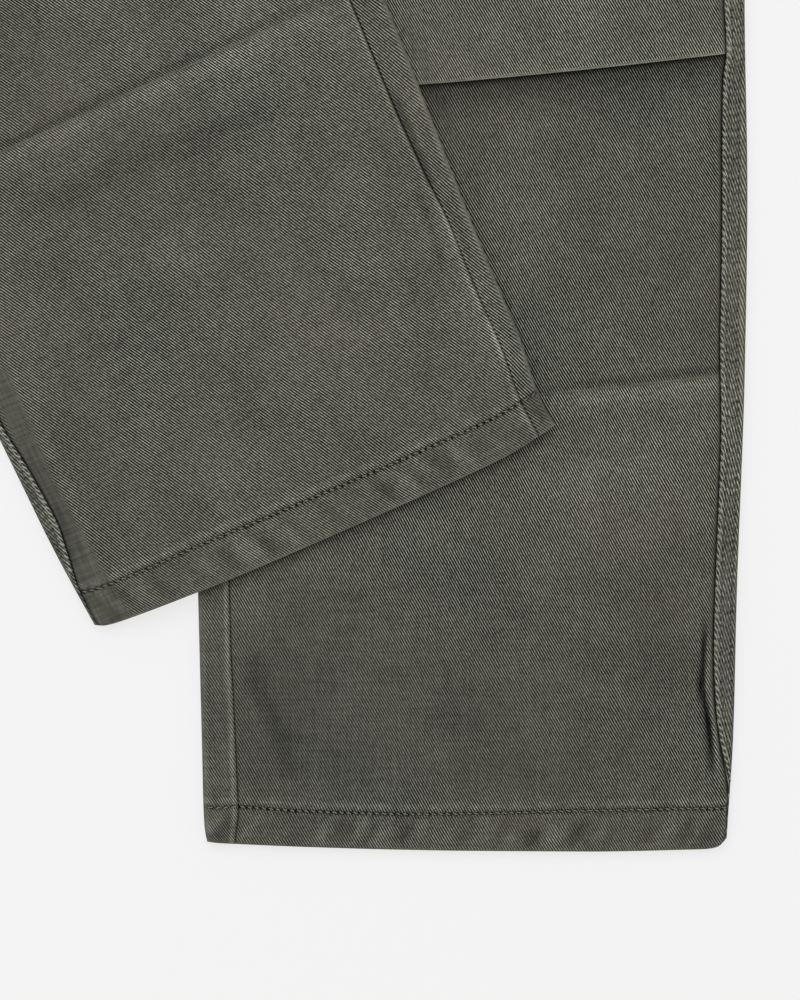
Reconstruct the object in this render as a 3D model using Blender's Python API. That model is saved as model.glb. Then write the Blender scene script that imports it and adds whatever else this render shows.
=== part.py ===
"""Cargo pants laid flat, with the wearer's right leg crossed over the left one.

Every cut piece is a closed wall of cloth of its own. A leg is a flat tube: its back panel lies
underneath and turns up round both edges of the leg, and its front panel lies on top, between the
outseam and the inseam. Sizes are in metres, with Z up and the waist towards +Y.

The pieces are worked out in the layout's own axes, where the straight leg's hem is centred on
X = 0 at Y = 0 and the surface under the garment is Z = 0. At the end everything is moved so that
the middle of the garment's outline is over the origin.

A level is a distance along the cloth of a leg, up from its hem. A point on a leg is given by its
level and by its inset, the distance in from the leg's outer edge.
"""

import math
from dataclasses import dataclass

import bpy
import numpy as np

# Cloth
CLOTH = 0.0012
SEAM_GAP = 0.0003
FOLD_RADIUS = 0.0022  # of the middle of the cloth, where it turns round a leg's edge
QUARTER_TURN = FOLD_RADIUS * math.pi / 2
HEM_HEIGHT = 0.0195
HEM_PLY = 0.0008  # the turned-up cloth inside a hem, pressed flat
FELL_PROUD = 0.0006  # how far a felled seam's strip stands proud of the panel
FELL_INNER = 0.0004

# Body
CROTCH_LEVEL = 0.775
WAIST_LEVEL = 1.030
CENTRE_X = -0.150
LAID_HEIGHT = CLOTH + 2 * FOLD_RADIUS  # of a leg's two layers with the fold's space between them
BACK_RISE = 0.018  # the back of the waist stands this much higher at its middle
BACK_RISE_LEVEL = 0.850
BACK_RISE_INSET = 0.15  # part of the width, from the side, before the back starts to rise
OPENING_OUT = 0.030  # above the crotch, over which the leg's inner fold opens into the seat

# How the crossed leg climbs on the straight one: it starts this far before its inner edge
CLIMB_START = 0.060
CLIMB_END = 0.022
CLIMB_HEIGHT = LAID_HEIGHT + FELL_PROUD + SEAM_GAP
CLIMB_FULL_Y = 0.700
CLIMB_NONE_Y = 0.768

# Waistband
BAND_HEIGHT = 0.040
BAND_PROUD = 0.0006
BAND_INNER = 0.0018
BAND_WALL = BAND_PROUD + BAND_INNER
UNDERLAP = 0.035
LAP_RAMP = 0.036
LEAST_STEP = 0.0006  # points of the waist nearer than this are one

# A leg's sections, from the hem up: where its outer and its inner edge lie
SECTION = ("level", "out_x", "out_y", "in_x", "in_y")
STRAIGHT_SECTIONS = (
    (0.000, 0.1290, 0.0015, -0.1295, 0.0035),
    (0.012, 0.1312, 0.0120, -0.1310, 0.0125),
    (0.055, 0.1335, 0.0550, -0.1322, 0.0550),
    (0.125, 0.1350, 0.1250, -0.1340, 0.1250),
    (0.240, 0.1388, 0.2400, -0.1370, 0.2380),
    (0.330, 0.1400, 0.3300, -0.1400, 0.3250),
    (0.425, 0.1387, 0.4250, -0.1430, 0.4200),
    (0.600, 0.1440, 0.6000, -0.1465, 0.6000),
    (0.700, 0.1490, 0.7000, -0.1480, 0.7000),
    (0.775, 0.1465, 0.7800, -0.1496, 0.7750),
    (0.880, 0.1240, 0.8800, -0.1500, 0.8800),
    (0.960, 0.0980, 0.9600, -0.1500, 0.9600),
    (1.030, 0.0650, 1.0300, -0.1500, 1.0300),
)
CROSSED_SECTIONS = (
    (0.000, -0.1855, 0.1140, 0.0445, 0.2120),
    (0.020, -0.1960, 0.1310, 0.0355, 0.2300),
    (0.046, -0.2080, 0.1545, 0.0275, 0.2550),
    (0.105, -0.2330, 0.2075, 0.0073, 0.3100),
    (0.164, -0.2595, 0.2597, -0.0130, 0.3650),
    (0.230, -0.2894, 0.3186, -0.0405, 0.4250),
    (0.349, -0.3435, 0.4250, -0.0901, 0.5336),
    (0.450, -0.3893, 0.5151, -0.1320, 0.6255),
    (0.550, -0.4340, 0.6050, -0.1518, 0.6850),
    (0.660, -0.4490, 0.7000, -0.1522, 0.7300),
    (0.775, -0.4465, 0.7800, -0.1504, 0.7750),
    (0.880, -0.4240, 0.8800, -0.1500, 0.8800),
    (0.960, -0.3980, 0.9600, -0.1500, 0.9600),
    (1.030, -0.3650, 1.0300, -0.1500, 1.0300),
)

# Where the seams run: how far round onto the top each lies, from the leg's very edge
SEAM = ("level", "outseam", "inseam")
STRAIGHT_SEAMS = (
    (0.000, 0.0022, 0.0150),
    (0.022, 0.0024, 0.0182),
    (0.036, 0.0040, 0.0180),
    (0.050, 0.0072, 0.0176),
    (0.072, 0.0102, 0.0172),
    (0.105, 0.0127, 0.0165),
    (0.425, 0.0122, 0.0170),
    (0.640, 0.0127, 0.0130),
    (0.722, 0.0127, 0.0038),
    (0.772, 0.0127, 0.0000),
    (1.030, 0.0127, 0.0000),
)
CROSSED_SEAMS = (
    (0.000, 0.0022, 0.0104),
    (0.020, 0.0024, 0.0108),
    (0.040, 0.0038, 0.0118),
    (0.070, 0.0058, 0.0126),
    (0.100, 0.0074, 0.0134),
    (0.200, 0.0107, 0.0155),
    (0.450, 0.0127, 0.0160),
    (0.640, 0.0127, 0.0120),
    (0.722, 0.0127, 0.0038),
    (0.772, 0.0127, 0.0000),
    (1.030, 0.0127, 0.0000),
)

# How the rows of a leg slope, as rise for each metre of inset, so that they run along its tucks
TILT = ("level", "slope")
STRAIGHT_TILTS = (
    (0.000, 0.000),
    (0.030, 0.000),
    (0.120, -0.050),
    (0.200, -0.107),
    (0.440, -0.107),
    (0.560, 0.000),
    (1.030, 0.000),
)
CROSSED_TILTS = (
    (0.000, 0.000),
    (0.030, 0.000),
    (0.120, 0.010),
    (0.200, 0.024),
    (0.260, 0.024),
    (0.340, 0.000),
    (1.030, 0.000),
)

# Tucks sewn into the outseam at the knee, on the front panel alone: where each lies, how high it
# stands, how far it reaches in, and how long its slope is below and above its edge
TUCK_FLAT_PART = 0.4  # of its reach, over which a tuck keeps its whole height
STRAIGHT_TUCKS = (
    (0.2390, 0.0030, 0.115, 0.0040, 0.016),
    (0.4000, 0.0050, 0.160, 0.0032, 0.045),
)
CROSSED_TUCKS = (
    (0.2360, 0.0030, 0.240, 0.0040, 0.016),
    (0.4000, 0.0045, 0.190, 0.0032, 0.040),
)

# Soft folds in which the crossed leg's spare cloth rises between the crossing and the crotch: where
# each lies, its height at the inner and at the outer edge, and half its width
CROSSED_RIDGES = (
    (0.516, 0.017, 0.0030, 0.044),
    (0.604, 0.019, 0.0040, 0.044),
    (0.690, 0.009, 0.0030, 0.042),
)

# Rows of cloth, by level at the outseam
HEM_STEP = 0.001  # from the top of the hem's inner ply to single cloth
HEM_ROWS = (0.0, 0.010, HEM_HEIGHT, HEM_HEIGHT + HEM_STEP, 0.027, 0.036, 0.052, 0.075, 0.105, 0.150, 0.195)
KNEE_ROWS = (0.290, 0.340, 0.375)
BACK_ROWS = (0.245, 0.410, 0.445)
THIGH_ROWS = (0.480, 0.520, 0.560, 0.600, 0.640, 0.675, 0.705)
CROTCH_ROWS = (0.727, 0.738, 0.746, 0.754, 0.762, 0.772, 0.784, 0.796, 0.812)
SEAT_ROWS = (0.850, 0.890, 0.930, 0.965, 1.000, WAIST_LEVEL)
RIDGE_ROWS = np.arange(-3, 3) / 3  # parts of a ridge's half width
TUCK_FOOT_ROWS = (1.0, 0.4, 0.0)  # parts of the slope below a tuck's edge
TUCK_BACK_ROWS = (0.3, 0.65, 1.0)  # parts of the slope above it

# Columns of the front panel: from each seam inwards along the cloth, and at set insets
NEAR_SEAM = (0.0, 0.0030)
NEAR_INSEAM = (0.0110, 0.0045, 0.0018, 0.0)
POCKET_INSETS = (0.024, 0.054, 0.084, 0.114, 0.144, 0.174)
FLAP_MARGIN = 0.004
FAR_INSET = 0.210  # about where the column past the pocket lies
INNER_INSET = 0.250  # about where the columns by the inner edge lie
UNDER_INSETS = (0.010, 0.250)  # about where the back panel's first and last flat columns lie
WRAP_STEPS = (1.0, 0.6, 0.27, 0.12)  # parts of a felled strip's width, from the seam to the edge
UNDER_STEPS = (0.0, 0.5, 1.0)  # parts of a quarter turn, from the edge to the underside
STRAIGHT_UNDER_COLUMNS = 5
CROSSED_UNDER_COLUMNS = 10  # more, because it climbs on the other leg
SLIDE = 0.010  # above the crotch nothing turns round the inner edge, and these columns lie beside it
SLIDE_START = 0.720
SLIDE_LENGTH = 0.090
NUDGE = 0.0001  # for working out which way a surface faces

# Pockets, flaps and buttons
POCKET_BOTTOM = 0.520
POCKET_TOP = 0.705
FLAP_BOTTOM = 0.640
FLAP_TOP = 0.728
POCKET_FULLNESS = 0.0030
POCKET_SWELL_UP = 0.2  # part of the height over which the bag swells from its bottom seam
POCKET_SWELL_IN = 0.4  # part of half the width over which it swells from a side seam
BUTTON_RADIUS = 0.0085
BUTTON_HEIGHT = 0.0032
BUTTON_SIDES = 14
BUTTON_PROFILE = (  # parts of the radius and of the height, from the middle of the underside
    (0.00, 0.00),
    (0.86, 0.00),
    (1.00, 0.45),
    (0.96, 0.85),
    (0.88, 1.00),
    (0.76, 0.90),
    (0.62, 0.66),
    (0.00, 0.62),
)
BUTTON_COLUMNS = (2, 5)  # of the flap's grid, each button between this column and the next
BUTTON_UP = 0.014  # from the flap's free edge
FINER = 8  # steps within each cell of the flap's grid, for finding the button's seat

# Belt loops, fly and hip pockets
LOOP_WIDTH = 0.012
LOOP_WALL = 0.0020
LOOP_ARCH = 0.0018
LOOP_BELOW = 0.007
LOOP_TOP = 0.001  # under the waistband's upper edge
LOOP_PLACES = (0.078, 0.172)
LOOP_ROWS = 9
FLY_WIDTH = 0.038
FLY_LENGTH = 0.165
FLY_CORNER = 0.0342
FLY_LIFT = 0.00105  # of the placket's middle over the panel's middle
FLY_ROWS = 12
FLY_COLUMNS = 5
HIP_BAND_WIDTH = 0.022
HIP_BAND_TOP_INSET = 0.100
HIP_BAND_TOP_LEVEL = 1.028
HIP_BAND_END_LEVEL = 0.880
HIP_BAND_END_INSET = 0.0165
HIP_BAND_BOW = 0.8  # 1 is straight
HIP_BAND_ROWS = 7
HIP_BAND_COLUMNS = 3

# Finishes, with colours as linear red, green and blue
CLOTH_COLOUR = (0.088, 0.088, 0.070, 1.0)
SEAM_COLOUR = (0.100, 0.099, 0.080, 1.0)
BUTTON_COLOUR = (0.045, 0.042, 0.030, 1.0)
CLOTH_ROUGHNESS = 0.9
RESIN_ROUGHNESS = 0.35
SHARP_ANGLE = math.radians(50)


def column(table, names, name):
    """One named column of a table."""
    return np.array([row[names.index(name)] for row in table], float)


def curve(places, values, at):
    """A smooth curve through a table's values that never swings past them."""
    widths = np.diff(places)
    slopes = np.diff(values) / widths
    tangents = np.zeros(len(values))
    tangents[0], tangents[-1] = slopes[0], slopes[-1]
    for k in range(1, len(values) - 1):
        if slopes[k - 1] * slopes[k] > 0:
            before = 2 * widths[k] + widths[k - 1]
            after = widths[k] + 2 * widths[k - 1]
            tangents[k] = (before + after) / (before / slopes[k - 1] + after / slopes[k])
    at = np.clip(at, places[0], places[-1])
    k = np.clip(np.searchsorted(places, at, side="right") - 1, 0, len(widths) - 1)
    t = (at - places[k]) / widths[k]
    start = (1 + 2 * t) * (1 - t) ** 2 * values[k] + t * (1 - t) ** 2 * widths[k] * tangents[k]
    end = t**2 * (3 - 2 * t) * values[k + 1] - t**2 * (1 - t) * widths[k] * tangents[k + 1]
    return start + end


def ease(t):
    """0 up to t = 0 and 1 from t = 1, with a smooth step between."""
    t = np.clip(t, 0.0, 1.0)
    return t * t * (3 - 2 * t)


def hump(t):
    """A round ridge: 1 at t = 0, down to 0 at t = 1 on both sides."""
    return np.cos(np.clip(np.abs(t), 0.0, 1.0) * math.pi / 2) ** 2


def around_edge(path, roundness):
    """How far in from a leg's edge, and how high above the fold's middle, cloth lies PATH metres round it.

    PATH is positive on top. Where roundness is 0 the edge is open, and both layers just end there.
    """
    turn = np.clip(np.abs(path) / FOLD_RADIUS, 0.0, math.pi / 2)
    past = np.maximum(np.abs(path) - QUARTER_TURN, 0.0)
    side = np.where(path < 0, -1.0, 1.0)
    inward = CLOTH / 2 + FOLD_RADIUS * (1 - np.cos(turn)) + past
    height = side * FOLD_RADIUS * np.sin(turn)
    inward = roundness * inward + (1 - roundness) * np.abs(path)
    height = roundness * height + (1 - roundness) * side * FOLD_RADIUS
    return inward, height


@dataclass(frozen=True)
class Leg:
    """One leg and its half of the seat. Its tables are the ones above."""

    name: str
    sections: tuple
    seams: tuple
    tilts: tuple
    tucks: tuple
    ridges: tuple
    crossed: bool

    def edges(self, level):
        """The outer and the inner edge at each level, as arrays ending in x, y."""
        levels = column(self.sections, SECTION, "level")
        xy = [curve(levels, column(self.sections, SECTION, name), level) for name in SECTION[1:]]
        return np.stack(xy[:2], -1), np.stack(xy[2:], -1)

    def width(self, level):
        """The leg's flat width at each level."""
        outer, inner = self.edges(level)
        return np.linalg.norm(inner - outer, axis=-1)

    def seam(self, level, name):
        """How far round onto the top the named seam lies."""
        return curve(column(self.seams, SEAM, "level"), column(self.seams, SEAM, name), level)

    def opened(self, level):
        """1 where the inner edge is a fold, 0 where the seat is open to the other half."""
        return 1 - ease((level - CROTCH_LEVEL) / OPENING_OUT)

    def slope(self, level):
        """How steeply the rows rise with inset at each level."""
        return curve(column(self.tilts, TILT, "level"), column(self.tilts, TILT, "slope"), level)

    def rows(self, levels, inset):
        """The level of each row's points, at the insets given."""
        return levels + self.slope(levels) * inset

    def floor(self, x, y):
        """How high the surface under this leg is: the crossed leg lies on the straight one."""
        if not self.crossed:
            return np.zeros_like(x)
        table = STRAIGHT_SECTIONS
        under = curve(column(table, SECTION, "in_y"), column(table, SECTION, "in_x"), y)
        climb = ease((x - under + CLIMB_START) / (CLIMB_START - CLIMB_END))
        return CLIMB_HEIGHT * climb * ease((CLIMB_NONE_Y - y) / (CLIMB_NONE_Y - CLIMB_FULL_Y))

    def ridge_lift(self, level, inset):
        """How far both layers rise in the leg's soft folds."""
        lift = np.zeros_like(level)
        across = ease(inset / self.width(level))
        for at, inner, outer, half_width in self.ridges:
            lift += (outer + (inner - outer) * across) * hump((level - at) / half_width)
        return lift

    def tuck_lift(self, level, inset):
        """How far the front panel rises at its tucks: steep below each one and long above it."""
        lift = np.zeros_like(level)
        for at, height, reach, below, above in self.tucks:
            off = level - (at + self.slope(level) * inset)
            side = np.where(off < 0, 1 - ease(-off / below), 1 - ease(off / above))
            past = inset / reach - TUCK_FLAT_PART
            lift += height * side * (1 - ease(past / (1 - TUCK_FLAT_PART)))
        return lift

    def surface(self, level, path, from_inner):
        """Points of the cloth's middle, PATH metres round from the outer or the inner edge."""
        inward, height = around_edge(path, np.where(from_inner, self.opened(level), 1.0))
        inset = np.where(from_inner, self.width(level) - inward, inward)
        return self.place(level, inset, height)

    def panel(self, level, path, from_inner, outer, inner):
        """A panel through the surface's points, with the directions that the surface has there."""
        up = self.surface(level + NUDGE, path, from_inner) - self.surface(level - NUDGE, path, from_inner)
        over = self.surface(level, path + NUDGE, from_inner) - self.surface(level, path - NUDGE, from_inner)
        outward = np.cross(up, over) * np.where(from_inner == self.crossed, 1.0, -1.0)[..., None]
        outward = outward / np.linalg.norm(outward, axis=-1, keepdims=True)
        return Panel(self.surface(level, path, from_inner), outward, outer, inner)

    def place(self, level, inset, height):
        """Points of the cloth's middle, at heights from -FOLD_RADIUS, underneath, to FOLD_RADIUS."""
        outer, inner = self.edges(level)
        across = (inner - outer) / np.linalg.norm(inner - outer, axis=-1, keepdims=True)
        xy = outer + across * inset[..., None]
        on_top = (1 + height / FOLD_RADIUS) / 2
        z = self.floor(xy[..., 0], xy[..., 1]) + CLOTH / 2 + FOLD_RADIUS + height
        z = z + self.ridge_lift(level, inset) + on_top * self.tuck_lift(level, inset)
        rise = (1 - on_top) * BACK_RISE * ease((level - BACK_RISE_LEVEL) / (WAIST_LEVEL - BACK_RISE_LEVEL))
        rise = rise * ease((inset / self.width(level) - BACK_RISE_INSET) / (1 - BACK_RISE_INSET))
        return np.concatenate([xy + np.stack([np.zeros_like(rise), rise], -1), z[..., None]], -1)


STRAIGHT = Leg("left", STRAIGHT_SECTIONS, STRAIGHT_SEAMS, STRAIGHT_TILTS, STRAIGHT_TUCKS, (), False)
CROSSED = Leg("right", CROSSED_SECTIONS, CROSSED_SEAMS, CROSSED_TILTS, CROSSED_TUCKS, CROSSED_RIDGES, True)


@dataclass
class Panel:
    """A grid of points on the middle of a piece, with its outward directions and its two half walls."""

    points: np.ndarray
    outward: np.ndarray
    outer: np.ndarray
    inner: np.ndarray

    def outside(self):
        """The piece's outer surface."""
        return self.points + self.outward * self.outer[..., None]

    def inside(self):
        """The piece's inner surface."""
        return self.points - self.outward * self.inner[..., None]

    def part(self, rows, columns):
        """A patch of the grid."""
        pick = np.ix_(rows, columns)
        return Panel(self.points[pick], self.outward[pick], self.outer[pick], self.inner[pick])


def walls(level, path, strip):
    """Half walls of cloth: a ply thicker inside at the hem, and more on both sides in a felled strip."""
    laid = ease((np.abs(path) - QUARTER_TURN) / FOLD_RADIUS)
    felled = laid * np.where(strip & (path > 0), 1.0, 0.0)
    outer = CLOTH / 2 + FELL_PROUD * felled
    inner = CLOTH / 2 + np.where(level <= HEM_HEIGHT, HEM_PLY * laid, FELL_INNER * felled)
    return outer, inner


def flat_path(inset):
    """How far round from an edge cloth lies that is this far in from it."""
    return inset + QUARTER_TURN - FOLD_RADIUS - CLOTH / 2


def row_levels(leg, extra):
    """All the levels at which a leg's panel has a row."""
    levels = list(HEM_ROWS + KNEE_ROWS + CROTCH_ROWS + SEAT_ROWS) + list(extra)
    for at, _, _, half_width in leg.ridges:
        levels += list(at + half_width * RIDGE_ROWS)
    if not leg.ridges:
        levels += THIGH_ROWS
    return np.array(sorted(levels))[:, None]


def tuck_rows(leg):
    """Rows that shape each tuck: its foot, its edge and the cloth that falls away above it."""
    levels = []
    for at, _, _, below, above in leg.tucks:
        levels += [at - below * share for share in TUCK_FOOT_ROWS]
        levels += [at + above * share for share in TUCK_BACK_ROWS]
    return levels


def front_panel(leg):
    """The front of a leg and of the seat, on top between the outseam and the inseam."""
    rows = row_levels(leg, tuck_rows(leg))
    pockets = (POCKET_INSETS[0] - FLAP_MARGIN,) + POCKET_INSETS + (POCKET_INSETS[-1] + FLAP_MARGIN,)
    by_inseam = np.full(len(NEAR_INSEAM), INNER_INSET)
    rough = np.concatenate([np.zeros(len(NEAR_SEAM)), pockets, [FAR_INSET], by_inseam])
    level = leg.rows(rows, rough[None, :])
    from_inner = np.zeros(level.shape, bool)
    from_inner[:, -len(NEAR_INSEAM) :] = True
    path = np.where(from_inner, leg.seam(level, "inseam"), leg.seam(level, "outseam")) + SEAM_GAP / 2
    path[:, : len(NEAR_SEAM)] += NEAR_SEAM
    path[:, -len(NEAR_INSEAM) :] += NEAR_INSEAM
    middle = level.shape[1] - len(NEAR_INSEAM) - 1
    path[:, len(NEAR_SEAM) : middle] = flat_path(np.array(pockets))
    far = flat_path(leg.width(level[:, middle]) - path[:, middle + 1])
    path[:, middle] = (path[:, middle - 1] + far) / 2
    outer, inner = walls(level, path, np.zeros(level.shape, bool))
    return rows[:, 0], leg.panel(level, path, from_inner, outer, inner)


def back_panel(leg, across):
    """The back of a leg and of the seat, underneath and round both edges as far as the seams on top."""
    rows = row_levels(leg, BACK_ROWS)
    wrap = len(WRAP_STEPS) + len(UNDER_STEPS)
    rough = np.concatenate([np.zeros(wrap), np.linspace(*UNDER_INSETS, across), np.full(wrap, INNER_INSET)])
    level = leg.rows(rows, rough[None, :])
    from_inner = np.zeros(level.shape, bool)
    from_inner[:, -wrap:] = True
    slid = SLIDE * ease((level - SLIDE_START) / SLIDE_LENGTH) * from_inner
    seam = np.where(from_inner, leg.seam(level, "inseam"), leg.seam(level, "outseam")) - SEAM_GAP / 2 + slid
    under = -QUARTER_TURN * np.array(UNDER_STEPS)
    path = np.zeros(level.shape)
    path[:, : len(WRAP_STEPS)] = seam[:, : len(WRAP_STEPS)] * WRAP_STEPS
    path[:, len(WRAP_STEPS) : wrap] = under
    path[:, -wrap : -len(WRAP_STEPS)] = under[::-1]
    path[:, -len(WRAP_STEPS) :] = seam[:, -len(WRAP_STEPS) :] * WRAP_STEPS[::-1]
    path -= slid
    start = CLOTH / 2 + FOLD_RADIUS
    reach = leg.width(level) - 2 * start - slid[:, -wrap : -wrap + 1]
    share = np.arange(1, across + 1) / (across + 1)
    path[:, wrap:-wrap] = -flat_path(start + reach[:, wrap:-wrap] * share)
    outer, inner = walls(level, path, np.ones(level.shape, bool))
    return leg.panel(level, path, from_inner, outer, inner)


def laid_on(panel, fullness):
    """A piece that lies on a panel: the panel's own points, moved out by the gap and by the fullness."""
    middle = panel.outside() + panel.outward * (SEAM_GAP + CLOTH / 2 + fullness)[..., None]
    half = np.full(fullness.shape, CLOTH / 2)
    return Panel(middle, panel.outward, half, half)


def between(rows, low, high):
    """The rows of a panel from one level to another."""
    return np.flatnonzero((rows > low - NUDGE) & (rows < high + NUDGE))


def cargo_pocket(rows, panel):
    """A pocket bag: a patch on the thigh next to the outseam, fuller in its middle."""
    first = len(NEAR_SEAM) + 1
    picked = between(rows, POCKET_BOTTOM, POCKET_TOP)
    patch = panel.part(picked, np.arange(first, first + len(POCKET_INSETS)))
    up = np.linspace(0.0, 1.0, patch.points.shape[0])[:, None]
    over = np.linspace(-1.0, 1.0, patch.points.shape[1])[None, :]
    fullness = POCKET_FULLNESS * ease(up / POCKET_SWELL_UP) * ease((1 - np.abs(over)) / POCKET_SWELL_IN)
    return laid_on(patch, fullness), picked, fullness


def cargo_flap(rows, panel, picked, bag_fullness):
    """A flap over the pocket's top, sewn to the leg above it."""
    first = len(NEAR_SEAM)
    flap_rows = between(rows, FLAP_BOTTOM, FLAP_TOP)
    patch = panel.part(flap_rows, np.arange(first, first + len(POCKET_INSETS) + 2))
    clear = np.zeros(patch.points.shape[:2])
    for i, row in enumerate(flap_rows):
        if row in picked:
            at = list(picked).index(row)
            clear[i, 1:-1] = bag_fullness[at] + CLOTH + SEAM_GAP
            clear[i, 0] = clear[i, 1]
            clear[i, -1] = clear[i, -2]
    return laid_on(patch, clear)


def hip_band(leg):
    """A slant band along the mouth of the hip pocket, from the waist seam to the outseam."""
    along = np.linspace(0.0, 1.0, HIP_BAND_ROWS)[:, None]
    across = np.linspace(0.0, 1.0, HIP_BAND_COLUMNS)[None, :]
    level = HIP_BAND_TOP_LEVEL + (HIP_BAND_END_LEVEL - HIP_BAND_TOP_LEVEL) * along + 0 * across
    inset = HIP_BAND_TOP_INSET + (HIP_BAND_END_INSET - HIP_BAND_TOP_INSET) * along**HIP_BAND_BOW
    inset = inset + HIP_BAND_WIDTH * across
    points = leg.place(level, inset, np.full(level.shape, FOLD_RADIUS))
    up = np.zeros(points.shape)
    up[..., 2] = 1.0
    half = np.full(level.shape, CLOTH / 2)
    return laid_on(Panel(points, up, half, half), np.zeros(level.shape))


def fly_placket():
    """The strip over the front opening, with its lower corner rounded off towards the centre."""
    along = np.linspace(0.0, 1.0, FLY_ROWS)[:, None]
    across = np.linspace(0.0, 1.0, FLY_COLUMNS)[None, :]
    drop = FLY_LENGTH * along
    into_corner = np.maximum(FLY_CORNER - (FLY_LENGTH - drop), 0.0)
    reach = FLY_WIDTH - (FLY_CORNER - np.sqrt(FLY_CORNER**2 - into_corner**2))
    x = CENTRE_X + SEAM_GAP / 2 + reach * across
    y = WAIST_LEVEL - drop + 0 * across
    z = np.full(x.shape, LAID_HEIGHT + FLY_LIFT)
    half = np.full(x.shape, CLOTH / 2)
    up = np.zeros(x.shape + (3,))
    up[..., 2] = 1.0
    return Panel(np.stack([x, y, z], -1), up, half, half)


def waistband(left, right):
    """One strip round the waist, from its lapped end at the centre front round to the underlap.

    It follows the top rows of the panels, LEFT and RIGHT, each given as a pair of front and back.
    """
    run = [left[0], left[1], right[1], right[0]]
    ways = [-1, 1, -1, 1]
    ring = np.concatenate([panel.points[-1, ::way] for panel, way in zip(run, ways)])
    outward = np.concatenate([panel.outward[-1, ::way] for panel, way in zip(run, ways)])
    lap = 1 - ease((ring[:, 0] - CENTRE_X - UNDERLAP - SEAM_GAP) / LAP_RAMP)
    lap[left[0].points.shape[1] :] = 0.0
    ring[:, 2] += (BAND_WALL + SEAM_GAP) * lap
    apart = np.linalg.norm(np.diff(ring, axis=0), axis=1)
    kept = np.concatenate([[True], apart > LEAST_STEP])
    ring, outward = ring[kept], outward[kept]
    under = [ring[-1] + np.array([step, 0.0, 0.0]) for step in (SEAM_GAP, UNDERLAP)]
    ring = np.concatenate([ring[:-1], under])
    outward = np.concatenate([outward, outward[-1:]])
    outward[:, 1] = 0.0
    outward /= np.linalg.norm(outward, axis=1, keepdims=True)
    heights = SEAM_GAP + np.array([0.0, BAND_HEIGHT / 2, BAND_HEIGHT])[:, None, None]
    points = ring[None, :, :] + heights * np.array([0.0, 1.0, 0.0])
    shape = points.shape[:2]
    outward = np.broadcast_to(outward, points.shape)
    return Panel(points, outward, np.full(shape, BAND_PROUD), np.full(shape, BAND_INNER))


def belt_loop(x):
    """A strip over the waistband, arched so that a belt passes under it."""
    along = np.linspace(0.0, 1.0, LOOP_ROWS)[:, None]
    across = np.array([-0.5, 0.5])[None, :]
    y = WAIST_LEVEL - LOOP_BELOW + (BAND_HEIGHT + LOOP_BELOW - LOOP_TOP) * along + 0 * across
    z = LAID_HEIGHT + SEAM_GAP + LOOP_WALL / 2 + LOOP_ARCH * hump(2 * along - 1) + 0 * across
    points = np.stack([x + LOOP_WIDTH * across + 0 * along, y, z], -1)
    up = np.zeros(points.shape)
    up[..., 2] = 1.0
    half = np.full(points.shape[:2], LOOP_WALL / 2)
    return Panel(points, up, half, half)


def plain_material(name, colour, roughness):
    """A finish of one colour, with no metal in it."""
    material = bpy.data.materials.new(name)
    material.use_nodes = True
    shader = material.node_tree.nodes["Principled BSDF"]
    shader.inputs["Base Color"].default_value = colour
    shader.inputs["Roughness"].default_value = roughness
    shader.inputs["Metallic"].default_value = 0.0
    return material


def build_wall(name, panel, colour):
    """Turns a panel into a closed wall of cloth: its outer and inner sides and the four edges between."""
    rows, columns = panel.points.shape[:2]
    outer = np.arange(rows * columns).reshape(rows, columns)
    inner = outer + rows * columns
    faces = []
    for i in range(rows - 1):
        for j in range(columns - 1):
            faces.append((outer[i, j], outer[i + 1, j], outer[i + 1, j + 1], outer[i, j + 1]))
            faces.append((inner[i, j], inner[i, j + 1], inner[i + 1, j + 1], inner[i + 1, j]))
        faces.append((outer[i, 0], inner[i, 0], inner[i + 1, 0], outer[i + 1, 0]))
        faces.append((outer[i, -1], outer[i + 1, -1], inner[i + 1, -1], inner[i, -1]))
    for j in range(columns - 1):
        faces.append((outer[0, j], outer[0, j + 1], inner[0, j + 1], inner[0, j]))
        faces.append((outer[-1, j], inner[-1, j], inner[-1, j + 1], outer[-1, j + 1]))
    turned = np.cross(panel.points[1, 0] - panel.points[0, 0], panel.points[0, 1] - panel.points[0, 0])
    if turned @ panel.outward[0, 0] < 0:
        faces = [face[::-1] for face in faces]
    points = np.concatenate([panel.outside().reshape(-1, 3), panel.inside().reshape(-1, 3)])
    mesh = bpy.data.meshes.new(name)
    mesh.from_pydata(points.tolist(), [], [[int(corner) for corner in face] for face in faces])
    mesh.materials.append(plain_material(name + "_cloth", colour, CLOTH_ROUGHNESS))
    mesh.shade_smooth()
    mesh.set_sharp_from_angle(angle=SHARP_ANGLE)
    made = bpy.data.objects.new(name, mesh)
    bpy.context.scene.collection.objects.link(made)
    return made


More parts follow.
